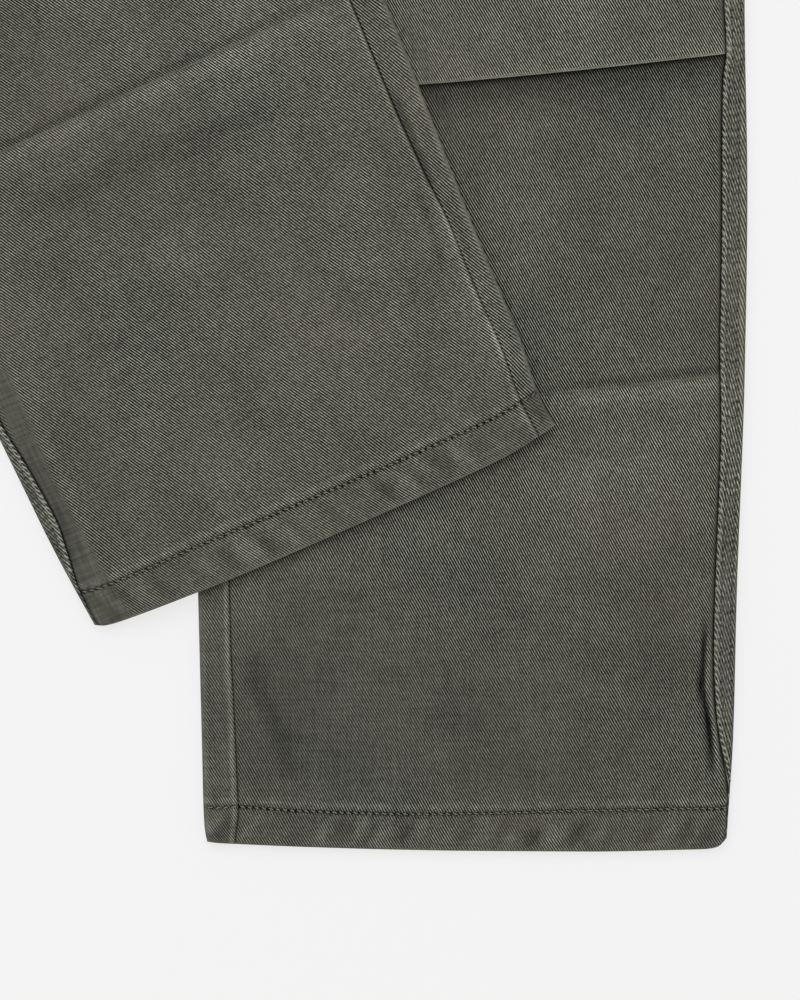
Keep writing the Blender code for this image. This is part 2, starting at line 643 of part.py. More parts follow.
def build_button(name, base, outward):
    """A turned button with a raised rim, its underside at the base point and its axis outward."""
    profile = [(radius * BUTTON_RADIUS, height * BUTTON_HEIGHT) for radius, height in BUTTON_PROFILE]
    points = [(0.0, 0.0, profile[0][1])]
    for radius, height in profile[1:-1]:
        for k in range(BUTTON_SIDES):
            angle = 2 * math.pi * k / BUTTON_SIDES
            points.append((radius * math.cos(angle), radius * math.sin(angle), height))
    points.append((0.0, 0.0, profile[-1][1]))
    rings = len(profile) - 2
    last = 1 + (rings - 1) * BUTTON_SIDES
    faces = []
    for k in range(BUTTON_SIDES):
        after = (k + 1) % BUTTON_SIDES
        faces.append((0, 1 + after, 1 + k))
        for ring in range(rings - 1):
            low = 1 + ring * BUTTON_SIDES
            high = low + BUTTON_SIDES
            faces.append((low + k, low + after, high + after, high + k))
        faces.append((last + k, last + after, len(points) - 1))
    outward = np.array(outward) / np.linalg.norm(outward)
    side = np.cross((0.0, 1.0, 0.0), outward)
    side = side / np.linalg.norm(side)
    turned = np.array(points) @ np.stack([side, np.cross(outward, side), outward])
    mesh = bpy.data.meshes.new(name)
    mesh.from_pydata((turned + np.array(base)).tolist(), [], faces)
    mesh.materials.append(plain_material(name + "_resin", BUTTON_COLOUR, RESIN_ROUGHNESS))
    mesh.shade_smooth()
    mesh.set_sharp_from_angle(angle=SHARP_ANGLE)
    made = bpy.data.objects.new(name, mesh)
    bpy.context.scene.collection.objects.link(made)
    return made


def finer(grid):
    """The same grid with more rows and columns, by straight steps between its own."""
    for _ in range(2):
        parts = [grid[:-1] + (grid[1:] - grid[:-1]) * k / FINER for k in range(FINER)]
        rows = np.stack(parts, 1).reshape(-1, *grid.shape[1:])
        grid = np.concatenate([rows, grid[-1:]]).swapaxes(0, 1)
    return grid


def build_leg(leg, across):
    """A leg's two panels, its cargo pocket with flap and buttons, and its hip pocket band."""
    rows, front = front_panel(leg)
    back = back_panel(leg, across)
    build_wall("front_" + leg.name, front, CLOTH_COLOUR)
    build_wall("back_" + leg.name, back, CLOTH_COLOUR)
    bag, picked, fullness = cargo_pocket(rows, front)
    build_wall("cargo_pocket_" + leg.name, bag, CLOTH_COLOUR)
    flap = cargo_flap(rows, front, picked, fullness)
    build_wall("cargo_flap_" + leg.name, flap, SEAM_COLOUR)
    outside = flap.outside()
    seats = finer(outside)
    outward = finer(flap.outward)
    for number, j in enumerate(BUTTON_COLUMNS, 1):
        middle = outside[0, j : j + 2].mean(0)
        up_leg = outside[-1, j] - outside[0, j]
        middle = middle + up_leg / np.linalg.norm(up_leg) * BUTTON_UP
        under = np.linalg.norm(seats - middle, axis=2) < BUTTON_RADIUS
        normal = outward[under].mean(0)
        normal = normal / np.linalg.norm(normal)
        highest = np.max((seats[under] - middle) @ normal)
        build_button(f"flap_button_{leg.name}_{number}", middle + normal * (SEAM_GAP + highest), normal)
    build_wall("hip_pocket_" + leg.name, hip_band(leg), SEAM_COLOUR)
    return front, back


def centre_over_origin():
    """Moves every mesh so that the middle of the garment's outline is over the origin."""
    meshes = [made.data for made in bpy.context.scene.objects]
    corners = []
    for mesh in meshes:
        found = np.array([vertex.co[:] for vertex in mesh.vertices])
        corners += [found.min(0), found.max(0)]
    low, high = np.min(corners, 0), np.max(corners, 0)
    for mesh in meshes:
        for vertex in mesh.vertices:
            vertex.co.x -= (low[0] + high[0]) / 2
            vertex.co.y -= (low[1] + high[1]) / 2
            vertex.co.z -= low[2]


def main():
    for old in list(bpy.data.objects):
        bpy.data.objects.remove(old, do_unlink=True)
    left = build_leg(STRAIGHT, STRAIGHT_UNDER_COLUMNS)
    right = build_leg(CROSSED, CROSSED_UNDER_COLUMNS)
    band = waistband(left, right)
    build_wall("waistband", band, SEAM_COLOUR)
    build_wall("fly_placket", fly_placket(), SEAM_COLOUR)
    number = 0
    for side in (1, -1):
        for place in LOOP_PLACES:
            number += 1
            build_wall(f"belt_loop_{number}", belt_loop(CENTRE_X + side * place), SEAM_COLOUR)
    top = band.outside()[1, 1]
    build_button("waist_button", (top[0], top[1], top[2] + SEAM_GAP), (0.0, 0.0, 1.0))
    centre_over_origin()


main()
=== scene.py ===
"""Dresses the laid cargo pants.

Each cut piece of cloth is a thin shell on its solid's form, with its tucks, creases, sewn grooves,
twill and wear. Threads and buttons are pieces of their own. Sizes are in metres. The garment is
worked out in the layout's axes, where the straight leg's hem is centred on X = 0 at Y = 0, with the
waist towards +Y, and it is then moved into the frame's axes. A level is a distance along a leg's
cloth, up from its hem, and an inset is a distance in from the leg's outer edge.
"""

import logging
import math
from dataclasses import dataclass, field
from enum import Enum
from functools import cache

import bpy
import numpy as np
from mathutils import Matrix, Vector


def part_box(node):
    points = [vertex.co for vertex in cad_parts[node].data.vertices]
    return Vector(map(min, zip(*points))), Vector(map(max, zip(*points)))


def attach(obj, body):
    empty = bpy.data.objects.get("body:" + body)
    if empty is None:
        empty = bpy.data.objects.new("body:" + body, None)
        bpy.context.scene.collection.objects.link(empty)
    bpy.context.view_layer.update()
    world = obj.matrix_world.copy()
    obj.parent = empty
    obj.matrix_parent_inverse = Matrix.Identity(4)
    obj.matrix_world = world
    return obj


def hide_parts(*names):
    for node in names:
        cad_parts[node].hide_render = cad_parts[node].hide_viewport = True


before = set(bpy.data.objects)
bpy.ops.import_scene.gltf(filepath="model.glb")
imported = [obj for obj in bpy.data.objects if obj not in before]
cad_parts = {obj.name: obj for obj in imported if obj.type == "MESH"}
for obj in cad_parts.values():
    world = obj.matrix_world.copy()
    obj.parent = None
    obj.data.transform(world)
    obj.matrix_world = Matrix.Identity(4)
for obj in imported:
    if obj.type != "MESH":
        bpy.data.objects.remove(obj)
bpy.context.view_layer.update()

LOG = logging.getLogger("cargo_pants")

CLOTH = 0.0012
SEAM_GAP = 0.0003
FOLD_RADIUS = 0.0022
QUARTER_TURN = FOLD_RADIUS * math.pi / 2
LAID_HEIGHT = CLOTH + 2 * FOLD_RADIUS
HEM = 0.0195
CROTCH_LEVEL = 0.775
WAIST_LEVEL = 1.030
CENTRE_X = -0.150
OUTER_STEP = 4  # the inner side of a shell has one cell for this many of the outer side's
NUDGE = 0.0001
LAY_GAP = 0.0002  # under a piece that lies on a leg
ON_CLOTH = 0.00006  # how far thick stitches stand off the cloth
IN_CLOTH = -0.00004  # how far thin stitches are drawn into it
HIDDEN_CLOTH = 1.06  # a cut piece with its hems and allowances, as a share of its outer side, by estimate
RIM, RIM_STEP = 0.0016, 0.0004  # a piece's rolled edge, and the points across it
NEAR_RIM, NEAR_STEP = 0.0100, 0.0013  # the same for the cloth beside it
SLOT_HALF = 0.0013  # from a buttonhole's middle to each of its bars
VIEW_MIDDLE = (-0.033, 0.175)  # in the layout

Array = np.ndarray
Pair = tuple[float, float]
Line = tuple[Pair, ...]
Table = tuple[tuple[float, ...], ...]


def ease(t: Array | float) -> Array:
    """Goes smoothly from 0 at t = 0 to 1 at t = 1."""
    t = np.clip(t, 0.0, 1.0)
    return t * t * (3 - 2 * t)


def hump(t: Array | float) -> Array:
    """A round ridge: 1 at t = 0, down to 0 at t = 1 on both sides."""
    return np.cos(np.clip(np.abs(t), 0.0, 1.0) * math.pi / 2) ** 2


def linked(name: str, data: bpy.types.ID) -> bpy.types.Object:
    """Puts new mesh, light or camera data into the scene.

    Args:
        name: The object's name.
        data: What it holds.

    Returns:
        The object.
    """
    made = bpy.data.objects.new(name, data)
    bpy.context.scene.collection.objects.link(made)
    return made


def through(table: Table, column: int, at: Array) -> Array:
    """A smooth curve through one column of a table that never swings past its values.

    Args:
        table: Rows that start with a place.
        column: Which value of a row is wanted.
        at: The places to read.

    Returns:
        The values there.
    """
    places = np.array([row[0] for row in table])
    values = np.array([row[column] for row in table])
    widths = np.diff(places)
    slopes = np.diff(values) / widths
    tangents = np.zeros(len(values))
    tangents[0], tangents[-1] = slopes[0], slopes[-1]
    for k in range(1, len(values) - 1):
        if slopes[k - 1] * slopes[k] > 0:
            before = 2 * widths[k] + widths[k - 1]
            after = widths[k] + 2 * widths[k - 1]
            tangents[k] = (before + after) / (before / slopes[k - 1] + after / slopes[k])
    at = np.clip(at, places[0], places[-1])
    k = np.clip(np.searchsorted(places, at, side="right") - 1, 0, len(widths) - 1)
    t = (at - places[k]) / widths[k]
    start = (1 + 2 * t) * (1 - t) ** 2 * values[k] + t * (1 - t) ** 2 * widths[k] * tangents[k]
    end = t**2 * (3 - 2 * t) * values[k + 1] - t**2 * (1 - t) * widths[k] * tangents[k + 1]
    return start + end


def flat_path(inset: Array | float) -> Array:
    """How far round from an edge cloth lies that is this far in from it."""
    return inset + QUARTER_TURN - FOLD_RADIUS - CLOTH / 2


def flat_inset(path: Array | float) -> Array:
    """How far in from an edge cloth lies, the other way round from flat_path."""
    return path - QUARTER_TURN + FOLD_RADIUS + CLOTH / 2


def steps(bands: Table) -> Array:
    """Places along a line, closer in some bands than in others.

    Args:
        bands: Each band's start, end and largest step, end to end.

    Returns:
        The places, with a multiple of OUTER_STEP of steps in each band.
    """
    places = [np.array([bands[0][0]])]
    for start, end, step in bands:
        count = OUTER_STEP * max(1, math.ceil((end - start) / step / OUTER_STEP - 1e-9))
        places.append(np.linspace(start, end, count + 1)[1:])
    return np.concatenate(places)


def edged(length: float, cell: float) -> Array:
    """Places across a sewn piece, close at both of its edges.

    Args:
        length: The piece's length that way.
        cell: The largest step.

    Returns:
        The places, from 0 to the length.
    """
    near = min(NEAR_RIM, length / 3)
    bands = ((0.0, RIM, RIM_STEP), (RIM, near, NEAR_STEP), (near, length - near, cell))
    return steps(bands + ((length - near, length - RIM, NEAR_STEP), (length - RIM, length, RIM_STEP)))


def unit(vectors: Array) -> Array:
    """The vectors, made 1 long."""
    return vectors / np.linalg.norm(vectors, axis=-1, keepdims=True)


def numbered(at: Array | float, grid: Array) -> Array | float:
    """Which number in a rising grid each place has, with fractions."""
    return np.interp(at, grid, np.arange(len(grid)))


def run_length(points: Array) -> Array:
    """How far along its line, or up its column of a shell, each point lies."""
    lengths = np.linalg.norm(np.diff(points, axis=0), axis=-1)
    return np.concatenate([np.zeros((1, *lengths.shape[1:])), np.cumsum(lengths, 0)])


def beside(line: Line, xy: Array) -> tuple[Array, Array]:
    """How far points are from a line, and how far along it.

    Args:
        line: The line's points in the layout.
        xy: Points in the layout, ending in x, y.

    Returns:
        The distance from the line, and the share of its length from its first end.
    """
    knots = np.array(line)
    lengths = np.linalg.norm(np.diff(knots, axis=0), axis=1)
    starts = np.concatenate([[0.0], np.cumsum(lengths)])
    best = np.full(xy.shape[:-1], 1e9)
    along = np.zeros(xy.shape[:-1])
    for k, length in enumerate(lengths):
        way = (knots[k + 1] - knots[k]) / length
        t = np.clip((xy - knots[k]) @ way, 0.0, length)
        away = np.linalg.norm(xy - knots[k] - t[..., None] * way, axis=-1)
        along = np.where(away < best, starts[k] + t, along)
        best = np.minimum(away, best)
    return best, along / starts[-1]


class Side(Enum):
    """Which of the wearer's legs a piece belongs to."""

    LEFT = "left"
    RIGHT = "right"


class Fold(Enum):
    """Which way a knee tuck lies."""

    LAPPED_DOWN = "the upper cloth laps over the lower"
    TURNED_UP = "the lower cloth laps over the upper"


class Edge(Enum):
    """An edge of a sewn piece's grid."""

    FIRST_ROW = "first row"
    LAST_ROW = "last row"
    FIRST_COLUMN = "first column"
    LAST_COLUMN = "last column"


@dataclass(frozen=True)
class Tuck:
    """A tuck sewn into the outseam at the knee.

    Its lap is how far one cloth covers the other. It keeps its whole height over the share `whole`
    of its reach, and its soft slope runs on for `spread`.
    """

    level: float
    reach: float
    height: float
    lap: float
    spread: float
    fold: Fold
    whole: float = 0.5

    def fade(self, inset: Array) -> Array:
        """How much of the tuck is left at each inset."""
        return 1 - ease((inset / self.reach - self.whole) / (1 - self.whole))


@dataclass(frozen=True)
class Crease:
    """A soft ridge in the cloth, or a trough where its height is negative, along a line."""

    line: Line
    height: float
    half_width: float
    taper: float = 0.3

    def lift(self, xy: Array) -> Array:
        """How far the crease lifts the cloth at points in the layout."""
        away, share = beside(self.line, xy)
        ends = ease(share / self.taper) * ease((1 - share) / self.taper)
        return self.height * hump(away / self.half_width) * (0.25 + 0.75 * ends)


@dataclass(frozen=True)
class Streak:
    """A line along which the cloth is lighter or darker, and its twill more or less clear: worn
    lines, and painted shade, shadow and highlights along folds, troughs, seams and the other leg's edge.

    Its half width goes from the first value to the second, and its `core` is the share of that
    which is as strong as the middle.
    """

    line: Line
    half_widths: Pair
    light: float
    clear: float = 0.0
    core: float = 0.25
    fade: float = 0.2

    def weight(self, xy: Array) -> Array:
        """How strongly the streak shows at points in the layout."""
        away, share = beside(self.line, xy)
        half = np.interp(share, (0.0, 1.0), self.half_widths)
        ends = ease(share / self.fade) * ease((1 - share) / self.fade) if self.fade else 1.0
        return (1 - ease((away / half - self.core) / (1 - self.core))) * ends


@dataclass(frozen=True)
class Patch:
    """A soft patch painted lighter or darker, with its twill more or less clear."""

    x: float
    y: float
    reach_x: float
    reach_y: float
    light: float
    clear: float = 0.0

    def weight(self, xy: Array) -> Array:
        """How strongly the patch shows at points in the layout."""
        away = ((xy[..., 0] - self.x) / self.reach_x) ** 2 + ((xy[..., 1] - self.y) / self.reach_y) ** 2
        return np.exp(-away)


@dataclass
class Shell:
    """A piece of cloth as a closed thin shell, fine outside and coarser inside.

    All its arrays are grids of rows up the piece and columns across it. `weave` holds where each
    point lies on the cloth, `tone` how light it is, with its wear and its painted shade and highlights,
    how clear and how brown it is, and `sewn` its distance from the nearest row of stitches, its place
    along that row and how hard the row pulls.
    """

    outer: Array
    inner: Array
    weave: Array
    tone: Array
    sewn: Array

    def turned(self) -> bool:
        """Whether up crossed with across points inwards."""
        across = self.outer[0, 1] - self.outer[0, 0]
        up = self.outer[1, 0] - self.outer[0, 0]
        return bool(np.cross(up, across) @ (self.outer[0, 0] - self.inner[0, 0]) < 0)

    def on(self, rows: Array, columns: Array, lift: float = 0.0) -> tuple[Array, Array]:
        """Points on the outer side, between the grid's own.

        Args:
            rows: How many rows up each point lies, with fractions.
            columns: How many columns across.
            lift: How far the points lie off the cloth.

        Returns:
            The points and their outward directions.
        """
        rows = np.clip(rows, 0, self.outer.shape[0] - 1.001)
        columns = np.clip(columns, 0, self.outer.shape[1] - 1.001)
        i, j = rows.astype(int), columns.astype(int)
        s, t = (rows - i)[:, None], (columns - j)[:, None]
        low, high = self.outer[i, j], self.outer[i + 1, j]
        low_next, high_next = self.outer[i, j + 1], self.outer[i + 1, j + 1]
        up = (high - low) * (1 - t) + (high_next - low_next) * t
        across = (low_next - low) * (1 - s) + (high_next - high) * s
        normal = unit(np.cross(up, across) * (-1.0 if self.turned() else 1.0))
        points = (low * (1 - t) + low_next * t) * (1 - s) + (high * (1 - t) + high_next * t) * s
        return points + normal * lift, normal

    def faces(self) -> list[list[int]]:
        """The shell's faces: both sides and the edges between, where a face joins a run of outer
        edges to one inner edge.

        Returns:
            Lists of vertex numbers.
        """
        rows, columns = self.outer.shape[:2]
        fine = np.arange(rows * columns).reshape(rows, columns)
        inner_shape = self.inner[::OUTER_STEP, ::OUTER_STEP].shape[:2]
        coarse = fine.size + np.arange(inner_shape[0] * inner_shape[1]).reshape(inner_shape)
        made = []
        for grid in (fine, coarse):
            corners = [grid[:-1, :-1], grid[1:, :-1], grid[1:, 1:], grid[:-1, 1:]]
            quads = np.stack([corner.ravel() for corner in corners], 1)
            made += (quads if grid is fine else quads[:, ::-1]).tolist()
        for run, under, turned in (
            (fine[0], coarse[0], False),
            (fine[-1], coarse[-1], True),
            (fine[:, 0], coarse[:, 0], True),
            (fine[:, -1], coarse[:, -1], False),
        ):
            for k in range(len(under) - 1):
                edge = run[k * OUTER_STEP : (k + 1) * OUTER_STEP + 1].tolist()
                face = edge + [int(under[k + 1]), int(under[k])]
                made.append(face[::-1] if turned else face)
        return [face[::-1] for face in made] if self.turned() else made

    def build(self, name: str) -> bpy.types.Object:
        """Makes the shell's object.

        Args:
            name: The piece's name.

        Returns:
            The new object.
        """
        picked = (slice(None, None, OUTER_STEP), slice(None, None, OUTER_STEP))

        def both(grid: Array) -> Array:
            """The values of a grid on the outer and then the inner side's points."""
            return np.concatenate([side.reshape(-1, grid.shape[-1]) for side in (grid, grid[picked])])

        points = np.concatenate([self.outer.reshape(-1, 3), self.inner[picked].reshape(-1, 3)])
        mesh = bpy.data.meshes.new(name)
        mesh.from_pydata(points.tolist(), [], self.faces())
        corners = np.zeros(len(mesh.loops), np.int32)
        mesh.loops.foreach_get("vertex_index", corners)
        weave = both(self.weave)[corners].astype(np.float32)
        mesh.uv_layers.new(name="weave").data.foreach_set("uv", weave.ravel())
        tone = both(self.tone)
        tone = np.concatenate([tone, np.ones((len(tone), 1))], 1).astype(np.float32)
        mesh.attributes.new("tone", "FLOAT_COLOR", "POINT").data.foreach_set("color", tone.ravel())
        sewn = both(self.sewn).astype(np.float32)
        mesh.attributes.new("sewn", "FLOAT_VECTOR", "POINT").data.foreach_set("vector", sewn.ravel())
        mesh.shade_smooth()
        mesh.set_sharp_from_angle(angle=math.radians(48))
        return linked(name, mesh)

    def area(self) -> float:
        """The area of the outer side, in square metres."""
        grid = self.outer
        one = np.cross(grid[1:, :-1] - grid[:-1, :-1], grid[:-1, 1:] - grid[:-1, :-1])
        two = np.cross(grid[1:, :-1] - grid[1:, 1:], grid[:-1, 1:] - grid[1:, 1:])
        return float((np.linalg.norm(one, axis=-1) + np.linalg.norm(two, axis=-1)).sum() / 2)


def nearest_row(away: list[Array], along: list[Array], pull: list[float]) -> Array:
    """What a shell keeps about the row of stitches nearest to each of its points.

    Args:
        away: The signed distance of every point from each row.
        along: The place of every point along each row.
        pull: How hard each row pulls the cloth in.

    Returns:
        The `sewn` grid of a shell.
    """
    away_all = np.stack(away)
    pick = np.argmin(np.abs(away_all), axis=0)[None]
    taken = np.take_along_axis(away_all, pick, 0)[0]
    place = np.take_along_axis(np.stack(np.broadcast_arrays(*along)), pick, 0)[0]
    return np.stack([taken, place, np.array(pull)[pick[0]]], -1)


# ---------------- finishes


Colour = tuple[float, float, float]


@dataclass(frozen=True)
class Signal:
    """What comes out of a shader node. Arithmetic on it adds Math nodes to the tree."""

    socket: bpy.types.NodeSocket

    def math(self, kind: str, *others: "Value") -> "Signal":
        """Adds a Math node whose first input is this signal."""
        return Wiring(self.socket.id_data).math(kind, self, *others)

    def __add__(self, other: "Value") -> "Signal":
        """The sum."""
        return self.math("ADD", other)

    def __sub__(self, other: "Value") -> "Signal":
        """The difference."""
        return self.math("SUBTRACT", other)

    def __mul__(self, other: "Value") -> "Signal":
        """The product."""
        return self.math("MULTIPLY", other)

    def __truediv__(self, other: "Value") -> "Signal":
        """The quotient."""
        return self.math("DIVIDE", other)

    def times_plus(self, factor: "Value", term: "Value") -> "Signal":
        """The product with a factor, plus a term."""
        return self.math("MULTIPLY_ADD", factor, term)


Value = Signal | float


@dataclass
class Wiring:
    """Short calls for the nodes of one shader tree."""

    tree: bpy.types.NodeTree

    def node(self, kind: str, **settings: object) -> bpy.types.Node:
        """Adds a node.

        Args:
            kind: The node's type, without the word that all of them start with.
            settings: Its settings by name.

        Returns:
            The node.
        """
        node = self.tree.nodes.new("ShaderNode" + kind)
        for name, value in settings.items():
            setattr(node, name, value)
        return node

    def feed(self, node: bpy.types.Node, inputs: dict[str | int, Value | Colour]) -> None:
        """Links or sets inputs of a node.

        Args:
            node: The node.
            inputs: What goes into each input, by its name or number.
        """
        for place, value in inputs.items():
            if isinstance(value, Signal):
                self.tree.links.new(value.socket, node.inputs[place])
            else:
                node.inputs[place].default_value = (*value, 1.0) if isinstance(value, tuple) else value

    def math(self, kind: str, *values: Value) -> Signal:
        """Adds a Math node.

        Args:
            kind: The node's operation.
            values: Its inputs.

        Returns:
            The node's output.
        """
        node = self.node("Math", operation=kind)
        self.feed(node, dict(enumerate(values)))
        return Signal(node.outputs[0])

    def split(self, vector: Signal) -> tuple[Signal, ...]:
        """The x, y and z of a vector."""
        node = self.node("SeparateXYZ")
        self.feed(node, {0: vector})
        return tuple(Signal(socket) for socket in node.outputs)

    def noise(self, x: Value, y: Value, detail: float, seed: float) -> Signal:
        """Adds noise with cells about one unit across.

        Args:
            x: The first coordinate.
            y: The second coordinate.
            detail: How many finer layers it has.
            seed: Sets this noise apart from others.

        Returns:
            The noise, from 0 to 1.
        """
        join = self.node("CombineXYZ")
        self.feed(join, {0: x, 1: y, 2: seed})
        node = self.node("TexNoise")
        self.feed(node, {"Scale": 1.0, "Detail": detail, "Vector": Signal(join.outputs[0])})
        return Signal(node.outputs[0])

    def mix(self, share: Value, first: Signal | Colour, second: Signal | Colour) -> Signal:
        """Mixes two colours.

        Args:
            share: How much of the second colour there is.
            first: The first colour.
            second: The second colour.

        Returns:
            The mixed colour.
        """
        node = self.node("Mix", data_type="RGBA")
        self.feed(node, {"Factor": share, 6: first, 7: second})
        return Signal(node.outputs[2])

    def attribute(self, name: str) -> Signal:
        """Reads one of the piece's attributes."""
        return Signal(self.node("Attribute", attribute_name=name).outputs["Vector"])

    def group(self, group: bpy.types.ShaderNodeTree, vector: Signal) -> dict[str, Signal]:
        """Places a group here.

        Args:
            group: The node group.
            vector: What its first input gets.

        Returns:
            Its outputs by name.
        """
        node = self.node("Group", node_tree=group)
        self.feed(node, {0: vector})
        return {socket.name: Signal(socket) for socket in node.outputs}

    def bump(self, shader: bpy.types.Node, height: Signal, distance: float) -> None:
        """Gives a shader a bumpy surface.

        Args:
            shader: The shader.
            height: How high the surface is.
            distance: How high it is where that is 1, in metres.
        """
        node = self.node("Bump")
        self.feed(node, {"Strength": 1.0, "Distance": distance, "Height": height})
        self.feed(shader, {"Normal": Signal(node.outputs[0])})


def new_group(
    name: str, vector: str, values: dict[str, float], outputs: tuple[str, ...]
) -> tuple[Wiring, dict[str, Signal], bpy.types.Node]:
    """Starts a shader node group with its sockets.

    Args:
        name: The group's name.
        vector: The name of its first input, a vector.
        values: Its other inputs, with their defaults.
        outputs: The names of its outputs.

    Returns:
        The group's wiring, its inputs by name, and its output node.
    """
    tree = bpy.data.node_groups.new(name, "ShaderNodeTree")
    tree.interface.new_socket(vector, in_out="INPUT", socket_type="NodeSocketVector")
    for label, value in values.items():
        socket = tree.interface.new_socket(label, in_out="INPUT", socket_type="NodeSocketFloat")
        socket.default_value = value
    for label in outputs:
        tree.interface.new_socket(label, in_out="OUTPUT", socket_type="NodeSocketFloat")
    given = {socket.name: Signal(socket) for socket in tree.nodes.new("NodeGroupInput").outputs}
    return Wiring(tree), given, tree.nodes.new("NodeGroupOutput")


def new_material(
    name: str, roughness: float, gloss: float
) -> tuple[bpy.types.Material, Wiring, bpy.types.Node]:
    """Starts a material.

    Args:
        name: The material's name.
        roughness: How rough its surface is.
        gloss: How much it shines.

    Returns:
        The material, its wiring and its shader.
    """
    material = bpy.data.materials.new(name)
    material.use_nodes = True
    make = Wiring(material.node_tree)
    shader = make.tree.nodes["Principled BSDF"]
    make.feed(shader, {"Roughness": roughness, "Specular IOR Level": gloss})
    return material, make, shader


@cache
def drill_weave() -> bpy.types.ShaderNodeTree:
    """The twill of the drill: diagonal wales, each broken into the floats of single yarns.

    Returns:
        The node group. Wale is 1 on a wale and 0 in the groove beside it, Slub is uneven yarn.
    """
    values = {"Pitch": 0.00122, "Lean": 0.5236, "Waver": 0.30, "Crispness": 3.0}
    make, given, end = new_group("drill weave", "Weave", values, ("Wale", "Slub"))
    u, v, _ = make.split(given["Weave"])
    cosine, sine = given["Lean"].math("COSINE"), given["Lean"].math("SINE")
    across = u * cosine + v * sine
    along = v * cosine - u * sine
    turns = across / given["Pitch"]
    bend = (make.noise(u * 150.0, v * 90.0, detail=2.0, seed=3.1) - 0.5) * given["Waver"]
    drift = (make.noise(u * 18.0, v * 11.0, detail=1.0, seed=7.7) - 0.5) * 2.6
    turns = turns + (bend + drift)
    wave = (turns * (2 * math.pi)).math("COSINE") * (given["Crispness"] * 0.5) - 0.2
    wave.socket.node.use_clamp = True
    yarn = make.noise(along * 620.0, turns, detail=2.0, seed=1.3) - 0.5
    wale = wave * yarn.times_plus(1.9, 0.86)
    fuzz = make.noise(u * 2300.0, v * 2300.0, detail=1.0, seed=4.3) - 0.5
    wale = fuzz.times_plus(0.26, wale)
    thick = make.noise(u * 900.0, v * 42.0, detail=1.0, seed=5.9)
    weft = make.noise(u * 40.0, v * 700.0, detail=1.0, seed=9.2)
    make.feed(end, {"Wale": wale, "Slub": (thick + weft) * 0.5})
    return make.tree


@cache
def wash_mottle() -> bpy.types.ShaderNodeTree:
    """The uneven look that washing leaves, in soft blotches of several sizes.

    Returns:
        The node group. Mottle is about 0 on the whole, from -0.5 to 0.5, and Grime is 0 to 1.
    """
    make, given, end = new_group("wash mottle", "Weave", {}, ("Mottle", "Grime"))
    u, v, _ = make.split(given["Weave"])

    def blotches(size_u: float, size_v: float, seed: float) -> Signal:
        """Noise with cells of a size."""
        return make.noise(u / size_u, v / size_v, 2.0, seed)

    total = blotches(0.070, 0.070, 2.2) * 0.34
    total = blotches(0.018, 0.024, 4.4).times_plus(0.38, total)
    total = blotches(0.0048, 0.0067, 6.6).times_plus(0.28, total)
    make.feed(end, {"Mottle": total - 0.5, "Grime": blotches(0.038, 0.038, 8.8)})
    return make.tree


@cache
def stitch_pull() -> bpy.types.ShaderNodeTree:
    """How a row of stitches pulls the cloth in: a groove, deeper at each stitch, and puckers.

    Returns:
        The node group. Dent is 0 on free cloth and up to 1 in the groove.
    """
    values = {"Pitch": 0.0035, "Width": 0.0009}
    make, given, end = new_group("stitch pull", "Sewn", values, ("Dent", "Pucker"))
    away, along, pull = make.split(given["Sewn"])
    ratio = away / given["Width"]
    groove = (ratio * ratio * -1.0).math("EXPONENT")
    beat = (along * (2 * math.pi) / given["Pitch"]).math("COSINE").times_plus(0.32, 0.68)
    dent = groove * beat * pull
    wide = ratio * 0.27
    spread = (wide * wide * -1.0).math("EXPONENT")
    rough = make.noise(along * 680.0, away * 1500.0, detail=2.0, seed=1.9)
    make.feed(end, {"Dent": dent, "Pucker": spread * (rough - 0.5) * pull})
    return make.tree


@dataclass(frozen=True)
class TwillFinish:
    """Washed cotton drill. Colours are linear red, green and blue."""

    name: str
    wale: Colour
    groove: Colour
    brown: Colour
    mean_wale: float = 0.27
    mottle: float = 0.50
    slub: float = 0.26
    grime: float = 0.38
    roughness: float = 0.92
    gloss: float = 0.06
    wale_height: float = 0.00013
    dent_depth: float = 0.00045
    dent_shade: float = 0.72
    pucker_shade: float = 1.9
    darkest: float = 0.02

    @cache
    def material(self) -> bpy.types.Material:
        """Makes the material, once.

        Returns:
            The material, which reads the piece's weave map and its tone and sewn attributes.
        """
        material, make, shader = new_material(self.name, self.roughness, self.gloss)
        weave_map = Signal(make.node("UVMap", uv_map="weave").outputs[0])
        light, clear, brown = make.split(make.attribute("tone"))
        weave = make.group(drill_weave(), weave_map)
        wash = make.group(wash_mottle(), weave_map)
        pull = make.group(stitch_pull(), make.attribute("sewn"))
        mask = (weave["Wale"] - self.mean_wale).times_plus(clear, self.mean_wale)
        faded = make.math("SUBTRACT", 1.0, clear)
        plain = (faded * faded).times_plus(1.2 * self.slub, self.slub)
        mask = (mask + (weave["Slub"] - 0.5) * plain).math("MAXIMUM", 0.0)
        threads = make.mix(mask, self.groove, self.wale)
        threads.socket.node.clamp_factor = False
        coloured = make.mix(wash["Grime"] * self.grime * brown, threads, self.brown)
        # Painted shade in the stitches' grooves and painted light and shade on their puckers, over washing's
        # mottle; the tone's lightness then adds wear and painted shade and highlights.
        level = wash["Mottle"].times_plus(self.mottle * 2.0, 1.0) - pull["Dent"] * self.dent_shade
        level = pull["Pucker"].times_plus(self.pucker_shade, level)
        level = (level * light).math("MAXIMUM", self.darkest)
        scale = make.node("VectorMath", operation="SCALE")
        make.feed(scale, {0: coloured, "Scale": level})
        make.feed(shader, {"Base Color": Signal(scale.outputs[0])})
        height = pull["Dent"].times_plus(-self.dent_depth, mask * self.wale_height)
        height = pull["Pucker"].times_plus(self.dent_depth * 1.6, height)
        make.bump(shader, height, 1.0)
        return material


